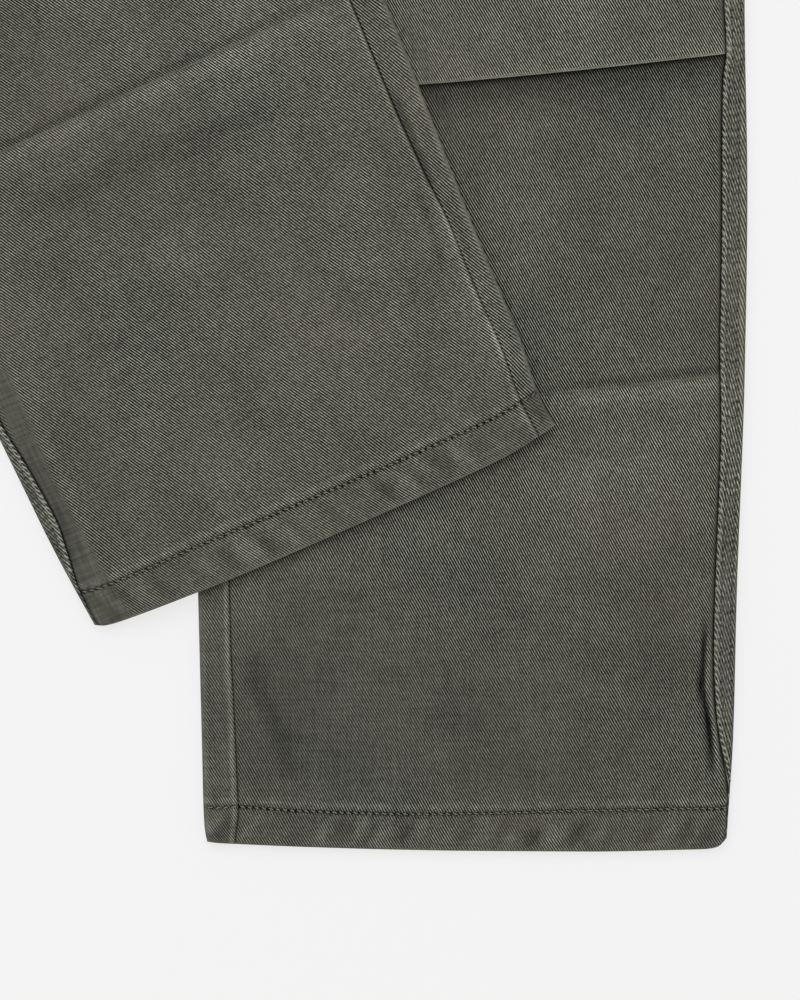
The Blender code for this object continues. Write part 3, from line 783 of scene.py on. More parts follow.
@dataclass(frozen=True)
class PlainFinish:
    """Thread or resin: one colour with a little unevenness. Colours are linear."""

    name: str
    dark: Colour
    light: Colour
    roughness: float
    grain: float
    bump: float
    gloss: float = 0.3

    @cache
    def material(self) -> bpy.types.Material:
        """Makes the material, once. It reads Object coordinates.

        Returns:
            The material.
        """
        material, make, shader = new_material(self.name, self.roughness, self.gloss)
        place = Signal(make.node("TexCoord").outputs["Object"])
        noise = make.node("TexNoise")
        make.feed(noise, {"Scale": self.grain, "Detail": 3.0, "Vector": place})
        grain = Signal(noise.outputs[0])
        make.feed(shader, {"Base Color": make.mix(grain, self.dark, self.light)})
        make.bump(shader, grain, self.bump)
        return material


PANEL_TWILL = TwillFinish(
    "olive drill",
    wale=(0.301, 0.305, 0.252),
    groove=(0.0030, 0.0034, 0.0024),
    brown=(0.111, 0.090, 0.064),
)
TRIM_TWILL = TwillFinish(
    "olive drill trim",
    wale=(0.321, 0.325, 0.268),
    groove=(0.0040, 0.0044, 0.0034),
    brown=(0.116, 0.094, 0.066),
)
SEAM_CORD = PlainFinish("worn seam edge", (0.190, 0.193, 0.160), (0.440, 0.444, 0.375), 0.85, 1500.0, 0.0001)
SEAM_THREAD = PlainFinish("sewing thread", (0.060, 0.064, 0.048), (0.170, 0.172, 0.140), 0.75, 1800.0, 0.0001)
HEM_THREAD = PlainFinish("hem thread", (0.080, 0.084, 0.066), (0.260, 0.263, 0.218), 0.75, 1800.0, 0.0001)
BUTTON_RESIN = PlainFinish("button resin", (0.020, 0.019, 0.012), (0.060, 0.054, 0.036), 0.38, 260.0, 0.00004)


# ---------------- the legs


@dataclass(frozen=True)
class Leg:
    """One leg and its half of the seat.

    `sections` gives, from the hem up, the level and the x and y of the outer and of the inner edge.
    `seams` gives how far round onto the top the outseam and the inseam lie. `tilts` gives how the
    rows rise with inset, `bow` how much less they do so further in, and `droops` how far the hem hangs
    below a straight line across its width.
    `inseam_beads` are how high the front and the back stand beside the inseam, `inseam_shade` is how
    dark the front is there, how far in, and what share of it is left near the hem, and `hem_line` is how
    far above HEM the hem's stitches run at shares of the width.
    """

    side: Side
    sections: Table
    seams: Table
    tilts: Table
    bow: float
    droops: Table
    tucks: tuple[Tuck, ...]
    ridges: Table
    creases: tuple[Crease, ...]
    marks: tuple[Patch | Streak, ...]
    bands: Table
    inseam_beads: Pair
    inseam_shade: tuple[float, float, float]
    hem_line: Table
    crossed_over: Table = ()

    CLIMB_START = 0.060
    CLIMB_END = 0.022
    CLIMB_HEIGHT = LAID_HEIGHT + 0.0009
    CLIMB_FULL_Y = 0.700
    CLIMB_NONE_Y = 0.768
    BACK_RISE = 0.018
    DROOP_END = 0.110
    NEAR = (0.0, 0.0003, 0.0007, 0.0012, 0.0018, 0.0026, 0.0036, 0.005, 0.007, 0.0095, 0.012, 0.015, 0.018)
    STRIP_STEPS = 24
    STRIP_GRAIN = 0.6  # the felled strip is drawn up along the seam, so its wales stand steeper
    STITCH_ROWS = (0.0036, 0.0061, 0.0086)
    LAP_ALONG = (
        (0.0, 0.0), (0.18, 0.62), (0.34, 1.0), (0.46, 0.9), (0.66, 0.16), (0.8, -0.12), (0.92, -0.08),
        (1.0, 0.05),
    )
    LAP_HEIGHT = (
        (0.0, 0.0), (0.28, -0.03), (0.38, 0.1), (0.46, 0.24), (0.66, 0.34), (0.8, 0.55), (0.92, 0.8),
        (1.0, 0.94),
    )
    FOLLOW_END = 0.060  # above this level the rows no longer follow the hem's stitches
    FOLLOW_FREE = 0.004
    SEAT_OPENING = 0.030
    BACK_RISE_LEVEL = 0.85
    BACK_RISE_INSET = 0.15  # as a share of the width
    SLIDE = 0.010  # how far the back stays from the centre seam above the crotch
    SLIDE_LEVEL = 0.720
    SLIDE_REACH = 0.090
    FELL_RISE = 0.0006

    def crossed(self) -> bool:
        """Whether this leg lies over the other one."""
        return bool(self.crossed_over)

    def edges(self, level: Array) -> tuple[Array, Array]:
        """The leg's outer and inner edge at each level, ending in x, y."""
        outer = [through(self.sections, k, level) for k in (1, 2)]
        inner = [through(self.sections, k, level) for k in (3, 4)]
        return np.stack(outer, -1), np.stack(inner, -1)

    def width(self, level: Array) -> Array:
        """The leg's flat width."""
        outer, inner = self.edges(level)
        return np.linalg.norm(inner - outer, axis=-1)

    def opened(self, level: Array) -> Array:
        """1 where the inner edge is a fold, and 0 where the seat is open to the other half."""
        return 1 - ease((level - CROTCH_LEVEL) / self.SEAT_OPENING)

    def hem_rise(self, level: Array, inset: Array) -> Array:
        """How far above HEM the hem's stitches run."""
        return through(self.hem_line, 1, inset / self.width(level))

    def from_hem(self, level: Array, inset: Array) -> Array:
        """How far above the hem's stitches each point lies."""
        return level - HEM - self.hem_rise(level, inset)

    def rows(self, levels: Array, inset: Array) -> Array:
        """The level of each row's points, at the insets given."""
        end = ease((self.FOLLOW_END - levels) / (self.FOLLOW_END - HEM - self.FOLLOW_FREE))
        follow = ease(levels / HEM) * end
        return levels + self.lean(levels, inset) + follow * self.hem_rise(levels, inset)

    def lean(self, level: Array, inset: Array) -> Array:
        """How far the rows have risen at an inset."""
        return through(self.tilts, 1, level) * inset * (1 - self.bow * inset)

    def floor(self, xy: Array) -> Array:
        """How high the surface under this leg is, at points in the layout."""
        if not self.crossed_over:
            return np.zeros(xy.shape[:-1])
        under = through(tuple((row[4], row[3]) for row in self.crossed_over), 1, xy[..., 1])
        climb = ease((xy[..., 0] - under + self.CLIMB_START) / (self.CLIMB_START - self.CLIMB_END))
        fall = ease((self.CLIMB_NONE_Y - xy[..., 1]) / (self.CLIMB_NONE_Y - self.CLIMB_FULL_Y))
        return self.CLIMB_HEIGHT * climb * fall

    def ridge_lift(self, level: Array, inset: Array) -> Array:
        """How far both layers rise in the leg's soft folds."""
        lift = np.zeros(np.broadcast(level, inset).shape)
        across = ease(inset / self.width(level))
        for at, inner, outer, half_width in self.ridges:
            lift = lift + (outer + (inner - outer) * across) * hump((level - at) / half_width)
        return lift

    def middle(self, level: Array, path: Array, from_inner: Array) -> Array:
        """Points of the cloth's middle.

        Args:
            level: Where on the leg.
            path: How far round from the edge, positive on top.
            from_inner: Whether each path starts at the inner edge.

        Returns:
            Points in the layout.
        """
        roundness = np.where(from_inner, self.opened(level), 1.0)
        turn = np.clip(np.abs(path) / FOLD_RADIUS, 0.0, math.pi / 2)
        side = np.where(path < 0, -1.0, 1.0)
        inward = CLOTH / 2 + FOLD_RADIUS * (1 - np.cos(turn)) + np.maximum(np.abs(path) - QUARTER_TURN, 0.0)
        inward = roundness * inward + (1 - roundness) * np.abs(path)
        height = roundness * side * FOLD_RADIUS * np.sin(turn) + (1 - roundness) * side * FOLD_RADIUS
        inset = np.where(from_inner, self.width(level) - inward, inward)
        outer, inner = self.edges(level)
        across = unit(inner - outer)
        xy = outer + across * inset[..., None]
        on_top = (1 + height / FOLD_RADIUS) / 2
        z = self.floor(xy) + CLOTH / 2 + FOLD_RADIUS + height + self.ridge_lift(level, inset)
        share = np.clip(inset / self.width(level), 0.0, 1.0)
        up = np.stack([across[..., 1], -across[..., 0]], -1) * (-1.0 if self.crossed() else 1.0)
        drop = through(self.droops, 1, share) * (1 - ease(level / self.DROOP_END))
        xy = xy - up * drop[..., None]
        rise = ease((level - self.BACK_RISE_LEVEL) / (WAIST_LEVEL - self.BACK_RISE_LEVEL))
        rise = (1 - on_top) * self.BACK_RISE * rise
        rise = rise * ease((share - self.BACK_RISE_INSET) / (1 - self.BACK_RISE_INSET))
        return np.concatenate([xy + np.stack([np.zeros_like(rise), rise], -1), z[..., None]], -1)

    def facing(self, level: Array, path: Array, from_inner: Array) -> Array:
        """The outward directions of the cloth's middle, for the same arguments."""
        up = self.middle(level + NUDGE, path, from_inner) - self.middle(level - NUDGE, path, from_inner)
        over = self.middle(level, path + NUDGE, from_inner) - self.middle(level, path - NUDGE, from_inner)
        return unit(np.cross(up, over) * np.where(from_inner == self.crossed(), 1.0, -1.0)[..., None])

    def seam(self, level: Array, inner: Array) -> Array:
        """How far round onto the top the inseam lies where `inner` is true, and else the outseam."""
        return np.where(inner, through(self.seams, 2, level), through(self.seams, 1, level))

    def half_gap(self, level: Array, inner: Array) -> Array:
        """How far each panel stays back from a seam. The centre seam is closed."""
        return SEAM_GAP / 2 * np.where(inner, 0.5 * self.opened(level), 1.0)

    def swell(self, xy: Array) -> Array:
        """The broad soft unevenness of laid cloth at points in the layout, with its creases."""
        x, y = xy[..., 0], xy[..., 1]
        lift = 0.00026 * np.sin(61 * x + 23 * y + 0.4) * np.sin(17 * x - 47 * y + 1.9)
        lift = lift + 0.00020 * np.sin(104 * x - 71 * y + 2.6) * np.sin(39 * x + 96 * y + 0.7)
        lift = lift + 0.00009 * np.sin(190 * x + 133 * y) * np.sin(161 * y - 120 * x + 1.1)
        for crease in self.creases:
            lift = lift + crease.lift(xy)
        return lift

    def from_tuck(self, tuck: Tuck, level: Array, inset: Array) -> Array:
        """How far above a tuck's line each point lies."""
        return level - (tuck.level + self.lean(level, inset))

    def tuck_lift(self, level: Array, inset: Array, free: Array, laps: bool) -> Array:
        """How far the top rises at its knee tucks.

        Args:
            level: Where on the leg.
            inset: How far in from the outer edge.
            free: 0 at the outseam, 1 where the tuck stands free of it.
            laps: Whether the cloth itself is folded, as the front is and the seam's strip isn't.

        Returns:
            The lift.
        """
        lift = np.zeros(level.shape)
        for tuck in self.tucks:
            off = self.from_tuck(tuck, level, inset)
            if tuck.fold is Fold.LAPPED_DOWN:
                below = np.zeros(off.shape) if laps else 1 - ease(-off / 0.008)
                shape = np.where(off < -NUDGE / 2, below, 1 - ease(off / tuck.spread))
            else:
                t = -off / tuck.spread
                puff = (0.25 + 0.75 * hump((t - 0.36) / 0.64)) * (1 - ease((t - 0.5) / 0.5))
                shape = np.where(off < 0, puff, 0.4 * (1 - ease(off / 0.0012)))
                shape = shape + 0.34 * hump(off / 0.0009) if laps else shape
            lift = lift + tuck.height * tuck.fade(inset) * (0.4 + 0.6 * free) * shape
        return lift

    def roping(self, level: Array, place: Array) -> Array:
        """The diagonal puckers of a hem, from -1 to 1.

        Args:
            level: Where on the leg.
            place: How far along the hem.

        Returns:
            How raised the cloth is.
        """
        rope = np.sin(place * 2 * math.pi / 0.0172 + level * 170.0 + 1.3 * np.sin(place * 39.0))
        rope = rope + 0.7 * np.sin(place * 2 * math.pi / 0.0291 - level * 50.0 + 2.0)
        rope = rope + 0.4 * np.sin(place * 2 * math.pi / 0.0093 + level * 240.0 + 0.6)
        return rope / 1.7 * (0.7 + 0.3 * np.sin(place * 71.0 + 1.3))

    def hem_lift(self, level: Array, place: Array) -> Array:
        """The relief of the turned hem: its groove of stitches, the puffs beside it and its roping.

        Args:
            level: Where on the leg.
            place: How far along the hem.

        Returns:
            The lift.
        """
        uneven = 0.75 + 0.25 * np.sin(place * 171.0 + 1.3) + 0.2 * np.sin(place * 363.0 + 0.2)
        off = self.from_hem(level, place)
        lift = 0.00050 * self.roping(level, place) * hump((level - 0.0100) / 0.0110)
        lift = lift + 0.00055 * uneven * hump((off - 0.0032) / 0.0032)
        lift = lift + 0.00028 * uneven * hump((off + 0.0024) / 0.0022)
        lift = lift - 0.00042 * hump(off / 0.0010)
        return lift - 0.0008 * (1 - ease(level / 0.0015))

    def tone(self, xy: Array, lift: Array, level: Array, inset: Array, laps: bool) -> Array:
        """How light, how clear and how brown the cloth is, with its wear and its painted shade and
        highlights.

        Args:
            xy: Points in the layout, ending in x, y.
            lift: The relief, whose ridges are worn lighter and whose troughs stay darker.
            level: Where on the leg.
            inset: How far in from the outer edge.
            laps: Whether the cloth itself is folded at the knee tucks.

        Returns:
            The `tone` grid of a shell.
        """
        light = np.ones(xy.shape[:-1]) + np.clip(lift / 0.0010, -0.5, 1.0) * 0.16
        clear = np.ones(xy.shape[:-1])
        for mark in self.marks:
            weight = mark.weight(xy)
            light = light * (1 + mark.light * weight)
            clear = clear * (1 + mark.clear * weight)
        for tuck in self.tucks:
            off, fade = self.from_tuck(tuck, level, inset), tuck.fade(inset) * laps
            if tuck.fold is Fold.LAPPED_DOWN:
                # Painted shadow under the fold, darkest right under it; the cloth just above it is a little
                # lighter.
                below = np.where(off < 0, 1 - ease(-off / 0.024), 0.0)
                above = np.where(off < 0, 0.0, 1 - ease(off / 0.016))
                close = np.where(off < 0, 1 - ease(-off / 0.0045), 0.0)
                light = light * (1 + fade * (0.14 * above - 0.52 * below - 0.36 * close))
            else:
                # A turned-up tuck: painted shade above its fold line, which is worn plainer and lighter, and
                # lighter puffed cloth below it, partly worn and partly painted highlight, most of it near the
                # outseam.
                broad = (0.22 + 0.35 * (1 - ease(inset / 0.050))) * hump((off + 0.0045) / 0.0080)
                worn = 0.16 * hump(off / 0.0008) + broad
                light = light * (1 + fade * (worn - 0.30 * hump((off - 0.0030) / 0.0045)))
                clear = clear * (1 - 0.95 * fade * hump(off / 0.0011))
        # The hem's puckers: crests worn lighter, and painted shade in their troughs.
        rope = self.roping(level, inset) * hump((level - 0.0100) / 0.0125)
        light = light * (1 + 0.42 * rope)
        # A lighter band of puffs above the hem's stitches: worn, and painted highlight on the puffs.
        spots = 0.6 + 0.4 * np.sin(inset * 2 * math.pi / 0.0113 + 1.2 * np.sin(inset * 97.0))
        off = self.from_hem(level, inset)
        light = light * (1 + 0.38 * spots * hump((off - 0.0030) / 0.0030))
        clear = clear * (1 - 0.15 * (1 - ease(off / 0.002)))
        # The hem's rounded bottom edge: twill worn plainer, and painted light where it turns down away from
        # the lamp.
        lip = 1 - ease(level / 0.0022)
        light, clear = light * (1 + 0.45 * lip), clear * (1 - 0.7 * lip)
        brown = 0.45 + 0.35 * np.sin(31 * xy[..., 0] + 13 * xy[..., 1]) * np.sin(27 * xy[..., 1] + 0.8)
        brown = brown + 0.9 * np.clip(-rope, 0.0, 1.0)
        return np.stack([light, clear, np.clip(brown, 0.0, 1.0)], -1)

    def row_stages(self) -> tuple[Array, Array]:
        """The rows of the front panel.

        Returns:
            Each row's level at the outseam and, in a lapped tuck, its stage from 0, the lower cloth,
            to 1, the upper one.
        """
        levels = steps(self.bands)
        stages = np.zeros(len(levels))
        for tuck in self.tucks:
            if tuck.fold is Fold.LAPPED_DOWN:
                at = int(np.argmin(np.abs(levels - tuck.level)))
                extra = np.linspace(0.0, 1.0, 4 * OUTER_STEP + 1)[1:]
                levels = np.insert(levels, at + 1, tuck.level + extra * NUDGE)
                stages = np.insert(stages, at + 1, extra)
        return levels, stages

    def lap(self, stages: Array, level: Array, inset: Array) -> tuple[Array, Array, Array]:
        """How the front's cloth turns on itself in a lapped tuck.

        Args:
            stages: Each row's stage.
            level: The level of every point.
            inset: The inset of every point.

        Returns:
            How far up the leg each point is shifted, its share of the tuck's height, and how much it
            belongs to the fold's lip, whose twill is worn plainer and which is painted lighter where it turns
            down away from the lamp.
        """
        shift, share, lip = np.zeros(level.shape), np.ones(level.shape), np.zeros(level.shape)
        stage = np.broadcast_to(stages[:, None], level.shape)
        for tuck in self.tucks:
            if tuck.fold is Fold.LAPPED_DOWN:
                here = (stage > 0) & (np.abs(level - tuck.level) < 0.08)
                curl = tuck.lap * tuck.fade(inset) * through(self.LAP_ALONG, 1, stage)
                shift = np.where(here, curl, shift)
                share = np.where(here, through(self.LAP_HEIGHT, 1, stage), share)
                lip = np.where(here, ease((stage - 0.56) / 0.2) * tuck.fade(inset), lip)
                off = self.from_tuck(tuck, level, inset)
                close = (stage == 0) & (off > 0)
                lip = np.where(close, 0.9 * (1 - ease(off / 0.0012)) * tuck.fade(inset), lip)
        return shift, share, lip

    def grain(self, middle: Array, level: Array, inset: Array) -> Array:
        """How far up the cloth's grain each point lies, from a straight line across the hem."""
        return run_length(middle) - through(self.droops, 1, inset[0] / self.width(level[0]))

    def front(self) -> tuple[Shell, Array, Array]:
        """The front panel, on top between the outseam and the inseam.

        Returns:
            The shell in the layout's axes, each row's level, and the middle of its top row with its
            directions.
        """
        rows, stages = self.row_stages()
        near = np.array(self.NEAR)
        share = np.concatenate([np.zeros(len(near)), np.linspace(0.0, 1.0, 45)[1:]])
        offsets = np.concatenate([near, np.zeros(44)])
        count = len(share)
        share, offsets = np.concatenate([share, share[-2::-1]]), np.concatenate([offsets, offsets[-2::-1]])
        from_inner = np.zeros((len(rows), len(share)), bool)
        from_inner[:, count:] = True
        inset = self.width(rows)[:, None] * np.linspace(0.0, 1.0, len(share))[None, :]
        for _ in range(3):
            level = self.rows(rows[:, None], inset)
            seams = self.seam(level, from_inner) + self.half_gap(level, from_inner)
            half = flat_path(self.width(level) / 2)
            path = np.where(share > 0, seams + near[-1] + (half - seams - near[-1]) * share, seams + offsets)
            inset = np.where(from_inner, self.width(level) - flat_inset(path), flat_inset(path))
            inset = np.maximum(inset, 0.0)
        from_seam = path - seams
        shift, stage_share, lip = self.lap(stages, level, inset)
        middle = self.middle(level + shift, path, from_inner)
        outward = self.facing(level + shift, path, from_inner)
        xy = middle[..., :2]
        bead = self.inseam_beads[0] * hump((from_seam - 0.0016) / 0.0018) * from_inner * self.opened(level)
        dip = np.where(from_inner, 0.00025, 0.00055) * (1 - ease(from_seam / 0.0022))
        relief = self.swell(xy) + self.hem_lift(level, inset) + bead - dip
        free = np.where(from_inner, 1.0, ease(from_seam / 0.014))
        tucks = self.tuck_lift(level, inset, free, True) * stage_share
        outer = middle + outward * (CLOTH / 2 + relief + tucks)[..., None]
        inner = self.middle(level, path, from_inner) - outward * (CLOTH / 2)
        sign = 1.0 if self.crossed() else -1.0
        weave = np.stack([sign * (inset - self.width(level) / 2), self.grain(middle, level, inset)], -1)
        tone = self.tone(xy, relief + tucks * 0.12, level, inset, True)
        # Painted shade in the seams' grooves, beside the inseam and in the outseam's slit; the inseam's bead
        # is worn lighter.
        shade, reach, low_share = self.inseam_shade
        shade = shade * np.interp(level, (0.100, 0.138), (low_share, 1.0))
        painted_inseam_shade = shade * (1 - ease(from_seam / reach))
        painted_seam_shade = np.where(from_inner, painted_inseam_shade, 0.80 * (1 - ease(from_seam / 0.0012)))
        tone[..., 0] *= 1 + bead / 0.0006 - painted_seam_shade * np.where(from_inner, self.opened(level), 1.0)
        unclear = 1 - ease(from_seam / np.where(from_inner, 2 * reach, 0.0030))
        tone[..., 1] *= 1 - np.where(from_inner, shade, 0.7) * unclear
        # The tucks' lips: twill worn plainer, and painted highlight where the fold turns down away from the
        # lamp.
        tone[..., 0] *= 1 + np.where(stages[:, None] > 0, 1.7, 0.9) * lip
        tone[..., 1] *= 1 - 0.8 * lip
        off = self.from_hem(level, inset)
        sewn = np.stack([off, inset, np.where(off < 0.010, 1.4, 0.0)], -1)
        top = np.stack([self.middle(level, path, from_inner)[-1], self.facing(level, path, from_inner)[-1]])
        return Shell(outer, inner, weave, tone, sewn), rows, top

    def back(self) -> tuple[Shell, Array, Array]:
        """The back panel, underneath and round both edges as far as the seams on top.

        Returns:
            The shell in the layout's axes, each row's level, and the middle of its top row with its
            directions.
        """
        rows = steps(self.bands)
        strip = np.linspace(1.0, 0.0, self.STRIP_STEPS + 1)[:-1]
        turn = np.linspace(0.0, 1.0, 9)
        wrap = len(strip) + len(turn)
        across = np.linspace(0.0, 1.0, 32 + (1 - 2 * wrap - 30) % OUTER_STEP)[1:-1]
        from_inner = np.zeros((len(rows), 2 * wrap + len(across)), bool)
        from_inner[:, -wrap:] = True
        level = np.repeat(rows[:, None], from_inner.shape[1], 1)
        for _ in range(2):
            width = self.width(level)
            slid = self.SLIDE * ease((level - self.SLIDE_LEVEL) / self.SLIDE_REACH) * from_inner
            seams = self.seam(level, from_inner) - self.half_gap(level, from_inner) + slid
            path = np.zeros(level.shape)
            path[:, : len(strip)] = seams[:, : len(strip)] * strip
            path[:, len(strip) : wrap] = -QUARTER_TURN * turn
            path[:, -wrap : -len(strip)] = -QUARTER_TURN * turn[::-1]
            path[:, -len(strip) :] = seams[:, -len(strip) :] * strip[::-1]
            path = path - slid
            start = CLOTH / 2 + FOLD_RADIUS
            reach = width - 2 * start - slid[:, -wrap : -wrap + 1]
            path[:, wrap:-wrap] = -flat_path(start + reach[:, wrap:-wrap] * across)
            inward = flat_inset(np.maximum(np.abs(path), QUARTER_TURN))
            inset = np.where(from_inner, width - inward, inward)
            level = self.rows(rows[:, None], inset)
        middle = self.middle(level, path, from_inner)
        outward = self.facing(level, path, from_inner)
        on_top = ease(path / 0.0030)
        from_seam = self.seam(level, from_inner) - path
        # A raised band under the outseam's cord, which the tone below paints darker as shade beside the slit.
        worn = hump((from_seam - 0.0010) / 0.0014) * ~from_inner
        bead = self.inseam_beads[1] * hump((from_seam - 0.0020) / 0.0022) * from_inner * self.opened(level)
        relief = bead + 0.00020 * worn - 0.0003 * (1 - ease(from_seam / 0.0005))
        for row in self.STITCH_ROWS:
            relief = relief - np.where(from_inner, 0.0, 0.00026 * hump((from_seam - row) / 0.0009))
        felled = self.FELL_RISE * ease((path - QUARTER_TURN + 0.001) / 0.002)
        lay = self.swell(middle[..., :2]) + self.hem_lift(level, inset) * from_inner
        lay = lay + self.tuck_lift(level, inset, np.zeros(level.shape), False)
        lay = lay + 0.00014 * np.sin(level * 2 * math.pi / 0.0061 + 1.5 * np.sin(level * 170)) * ~from_inner
        outer = middle + outward * (CLOTH / 2 + relief * on_top + felled * (path > 0))[..., None]
        outer[..., 2] = np.maximum(outer[..., 2] + lay * on_top, 0.0)
        inner = middle - outward * (CLOTH / 2)
        total = width + 2 * (QUARTER_TURN - FOLD_RADIUS - CLOTH / 2)
        unrolled = np.where(from_inner, total + path, -path) - total / 2
        weave = np.stack([unrolled * (-1.0 if self.crossed() else 1.0), self.grain(middle, level, inset)], -1)
        weave[:, :wrap, 1] *= self.STRIP_GRAIN
        tone = self.tone(middle[..., :2], (relief + lay) * on_top, level, inset, False)
        # Painted shade in the seams' grooves, and on the band under the outseam's cord, showing between its
        # slanted stitches; the inseam's bead is worn lighter.
        tone[..., 0] *= 1 + on_top * (bead / 0.0006 - 0.62 * worn - 0.6 * (1 - ease(from_seam / 0.0005)))
        tone[..., 0] *= 1 + 0.78 * on_top * ~from_inner
        rim = hump((path - 0.0014) / 0.0034)
        tone[..., 0] *= 1 + np.where(from_inner, 0.34, 0.05) * rim
        tone[..., 1] *= 1 - np.where(from_inner, 0.10 + 0.8 * rim, 0.38) * ease(path / 0.001)
        none = np.full(level.shape, 1.0)
        away = [np.where(from_inner, none, from_seam - row) for row in self.STITCH_ROWS]
        off = self.from_hem(level, inset)
        away.append(np.where(from_inner & (path > 0), off, none))
        sewn = nearest_row(away, [level, level + 0.001, level, inset], [1.0, 0.8, 1.0, 1.0])
        sewn[..., 2] *= on_top
        return Shell(outer, inner, weave, tone, sewn), rows, np.stack([middle[-1], outward[-1]])

    def top(self, level: Array, inset: Array) -> tuple[Array, Array]:
        """The outer side of the front panel, for what lies on it.

        Args:
            level: Where on the leg.
            inset: How far in from the outer edge.

        Returns:
            Points in the layout and outward directions.
        """
        path = flat_path(inset)
        from_inner = np.zeros(level.shape, bool)
        middle = self.middle(level, path, from_inner)
        outward = self.facing(level, path, from_inner)
        return middle + outward * (CLOTH / 2 + self.swell(middle[..., :2]))[..., None], outward


STRAIGHT_SECTIONS = (
    (0.0, 0.1305, 0.0015, -0.1295, 0.0035), (0.005, 0.1308, 0.0058, -0.1303, 0.007),
    (0.012, 0.1312, 0.012, -0.131, 0.0125), (0.055, 0.1338, 0.055, -0.1322, 0.055),
    (0.125, 0.1355, 0.125, -0.134, 0.125), (0.24, 0.1396, 0.24, -0.137, 0.238),
    (0.33, 0.1409, 0.33, -0.14, 0.325), (0.425, 0.1395, 0.425, -0.143, 0.42),
    (0.6, 0.144, 0.6, -0.1465, 0.6), (0.7, 0.149, 0.7, -0.148, 0.7), (0.775, 0.1465, 0.78, -0.1496, 0.775),
    (0.88, 0.124, 0.88, -0.15, 0.88), (0.96, 0.098, 0.96, -0.15, 0.96), (1.03, 0.065, 1.03, -0.15, 1.03),
)
CROSSED_SECTIONS = (
    (0.0, -0.1865, 0.114, 0.0445, 0.212), (0.02, -0.196, 0.131, 0.0355, 0.23),
    (0.046, -0.2084, 0.1543, 0.0275, 0.255), (0.075, -0.2211, 0.1802, 0.0162, 0.282),
    (0.105, -0.2342, 0.2069, 0.0045, 0.31), (0.164, -0.2604, 0.2593, -0.017, 0.365),
    (0.23, -0.2894, 0.3186, -0.0405, 0.425), (0.349, -0.3435, 0.425, -0.0901, 0.5336),
    (0.45, -0.3893, 0.5151, -0.132, 0.6255), (0.55, -0.434, 0.605, -0.1478, 0.685),
    (0.66, -0.449, 0.7, -0.1492, 0.73), (0.775, -0.4465, 0.78, -0.1501, 0.775),
    (0.88, -0.424, 0.88, -0.15, 0.88), (0.96, -0.398, 0.96, -0.15, 0.96), (1.03, -0.365, 1.03, -0.15, 1.03),
)
STRAIGHT_SEAMS = (
    (0.0, 0.0012, 0.015), (0.022, 0.0015, 0.0182), (0.0355, 0.0031, 0.018), (0.05, 0.0065, 0.0176),
    (0.072, 0.0102, 0.0172), (0.105, 0.0119, 0.0165), (0.1975, 0.0118, 0.0167), (0.26, 0.0137, 0.0168),
    (0.34, 0.0136, 0.0169), (0.385, 0.0123, 0.017), (0.399, 0.0104, 0.017), (0.425, 0.0112, 0.017),
    (0.48, 0.0124, 0.0168), (0.64, 0.0127, 0.013), (0.722, 0.0127, 0.0038), (0.772, 0.0127, 0.0),
    (1.03, 0.0127, 0.0),
)
CROSSED_SEAMS = (
    (0.0, 0.002, 0.0099), (0.019, 0.0027, 0.0102), (0.042, 0.0068, 0.0111), (0.056, 0.0087, 0.0115),
    (0.084, 0.0073, 0.0116), (0.111, 0.005, 0.0112), (0.122, 0.0055, 0.0118), (0.134, 0.0061, 0.0129),
    (0.15, 0.0068, 0.0142), (0.18, 0.0087, 0.0158), (0.22, 0.0112, 0.0167), (0.45, 0.0127, 0.0165),
    (0.64, 0.0127, 0.012), (0.722, 0.0127, 0.0038), (0.772, 0.0127, 0.0), (1.03, 0.0127, 0.0),
)
STRAIGHT_TILTS = (
    (0.0, 0.0), (0.03, 0.0), (0.12, -0.05), (0.2, -0.12), (0.26, -0.12), (0.4, -0.107), (0.44, -0.107),
    (0.56, 0.0), (1.03, 0.0),
)
CROSSED_TILTS = (
    (0.0, 0.0), (0.03, 0.0), (0.12, 0.01), (0.2, 0.024), (0.26, 0.024), (0.34, 0.0), (1.03, 0.0),
)
STRAIGHT_DROOPS = (
    (0.0, -0.0066), (0.003, -0.0042), (0.008, -0.0019), (0.022, 0.0004), (0.04, 0.0012), (0.09, 0.0017),
    (0.17, 0.0024), (0.26, 0.0029), (0.5, 0.003), (0.63, 0.0027), (0.82, 0.0016), (0.94, 0.0005),
    (0.985, -0.0001), (1.0, -0.0008),
)
CROSSED_DROOPS = (
    (0.0, 0.0008), (0.008, 0.0027), (0.022, 0.0041), (0.047, 0.005), (0.1, 0.0058), (0.16, 0.0064),
    (0.31, 0.0072), (0.55, 0.0068), (0.8, 0.0055), (0.9, 0.0041), (0.96, 0.0016), (0.99, 0.0002),
    (1.0, -0.0008),
)
STRAIGHT_HEM_LINE = (
    (0.0, 0.0), (0.03, 0.0024), (0.08, 0.0031), (0.25, 0.0032), (0.45, 0.002), (0.63, 0.0013),
    (0.82, 0.0019), (0.93, 0.003), (0.98, 0.002), (1.0, 0.0024),
)
CROSSED_HEM_LINE = ((0.0, 0.0), (0.1, 0.0003), (0.28, 0.0018), (0.5, 0.0012), (0.8, 0.0003), (1.0, -0.0008))
CROSSED_RIDGES = ((0.516, 0.017, 0.003, 0.044), (0.604, 0.019, 0.004, 0.044), (0.69, 0.009, 0.003, 0.042))


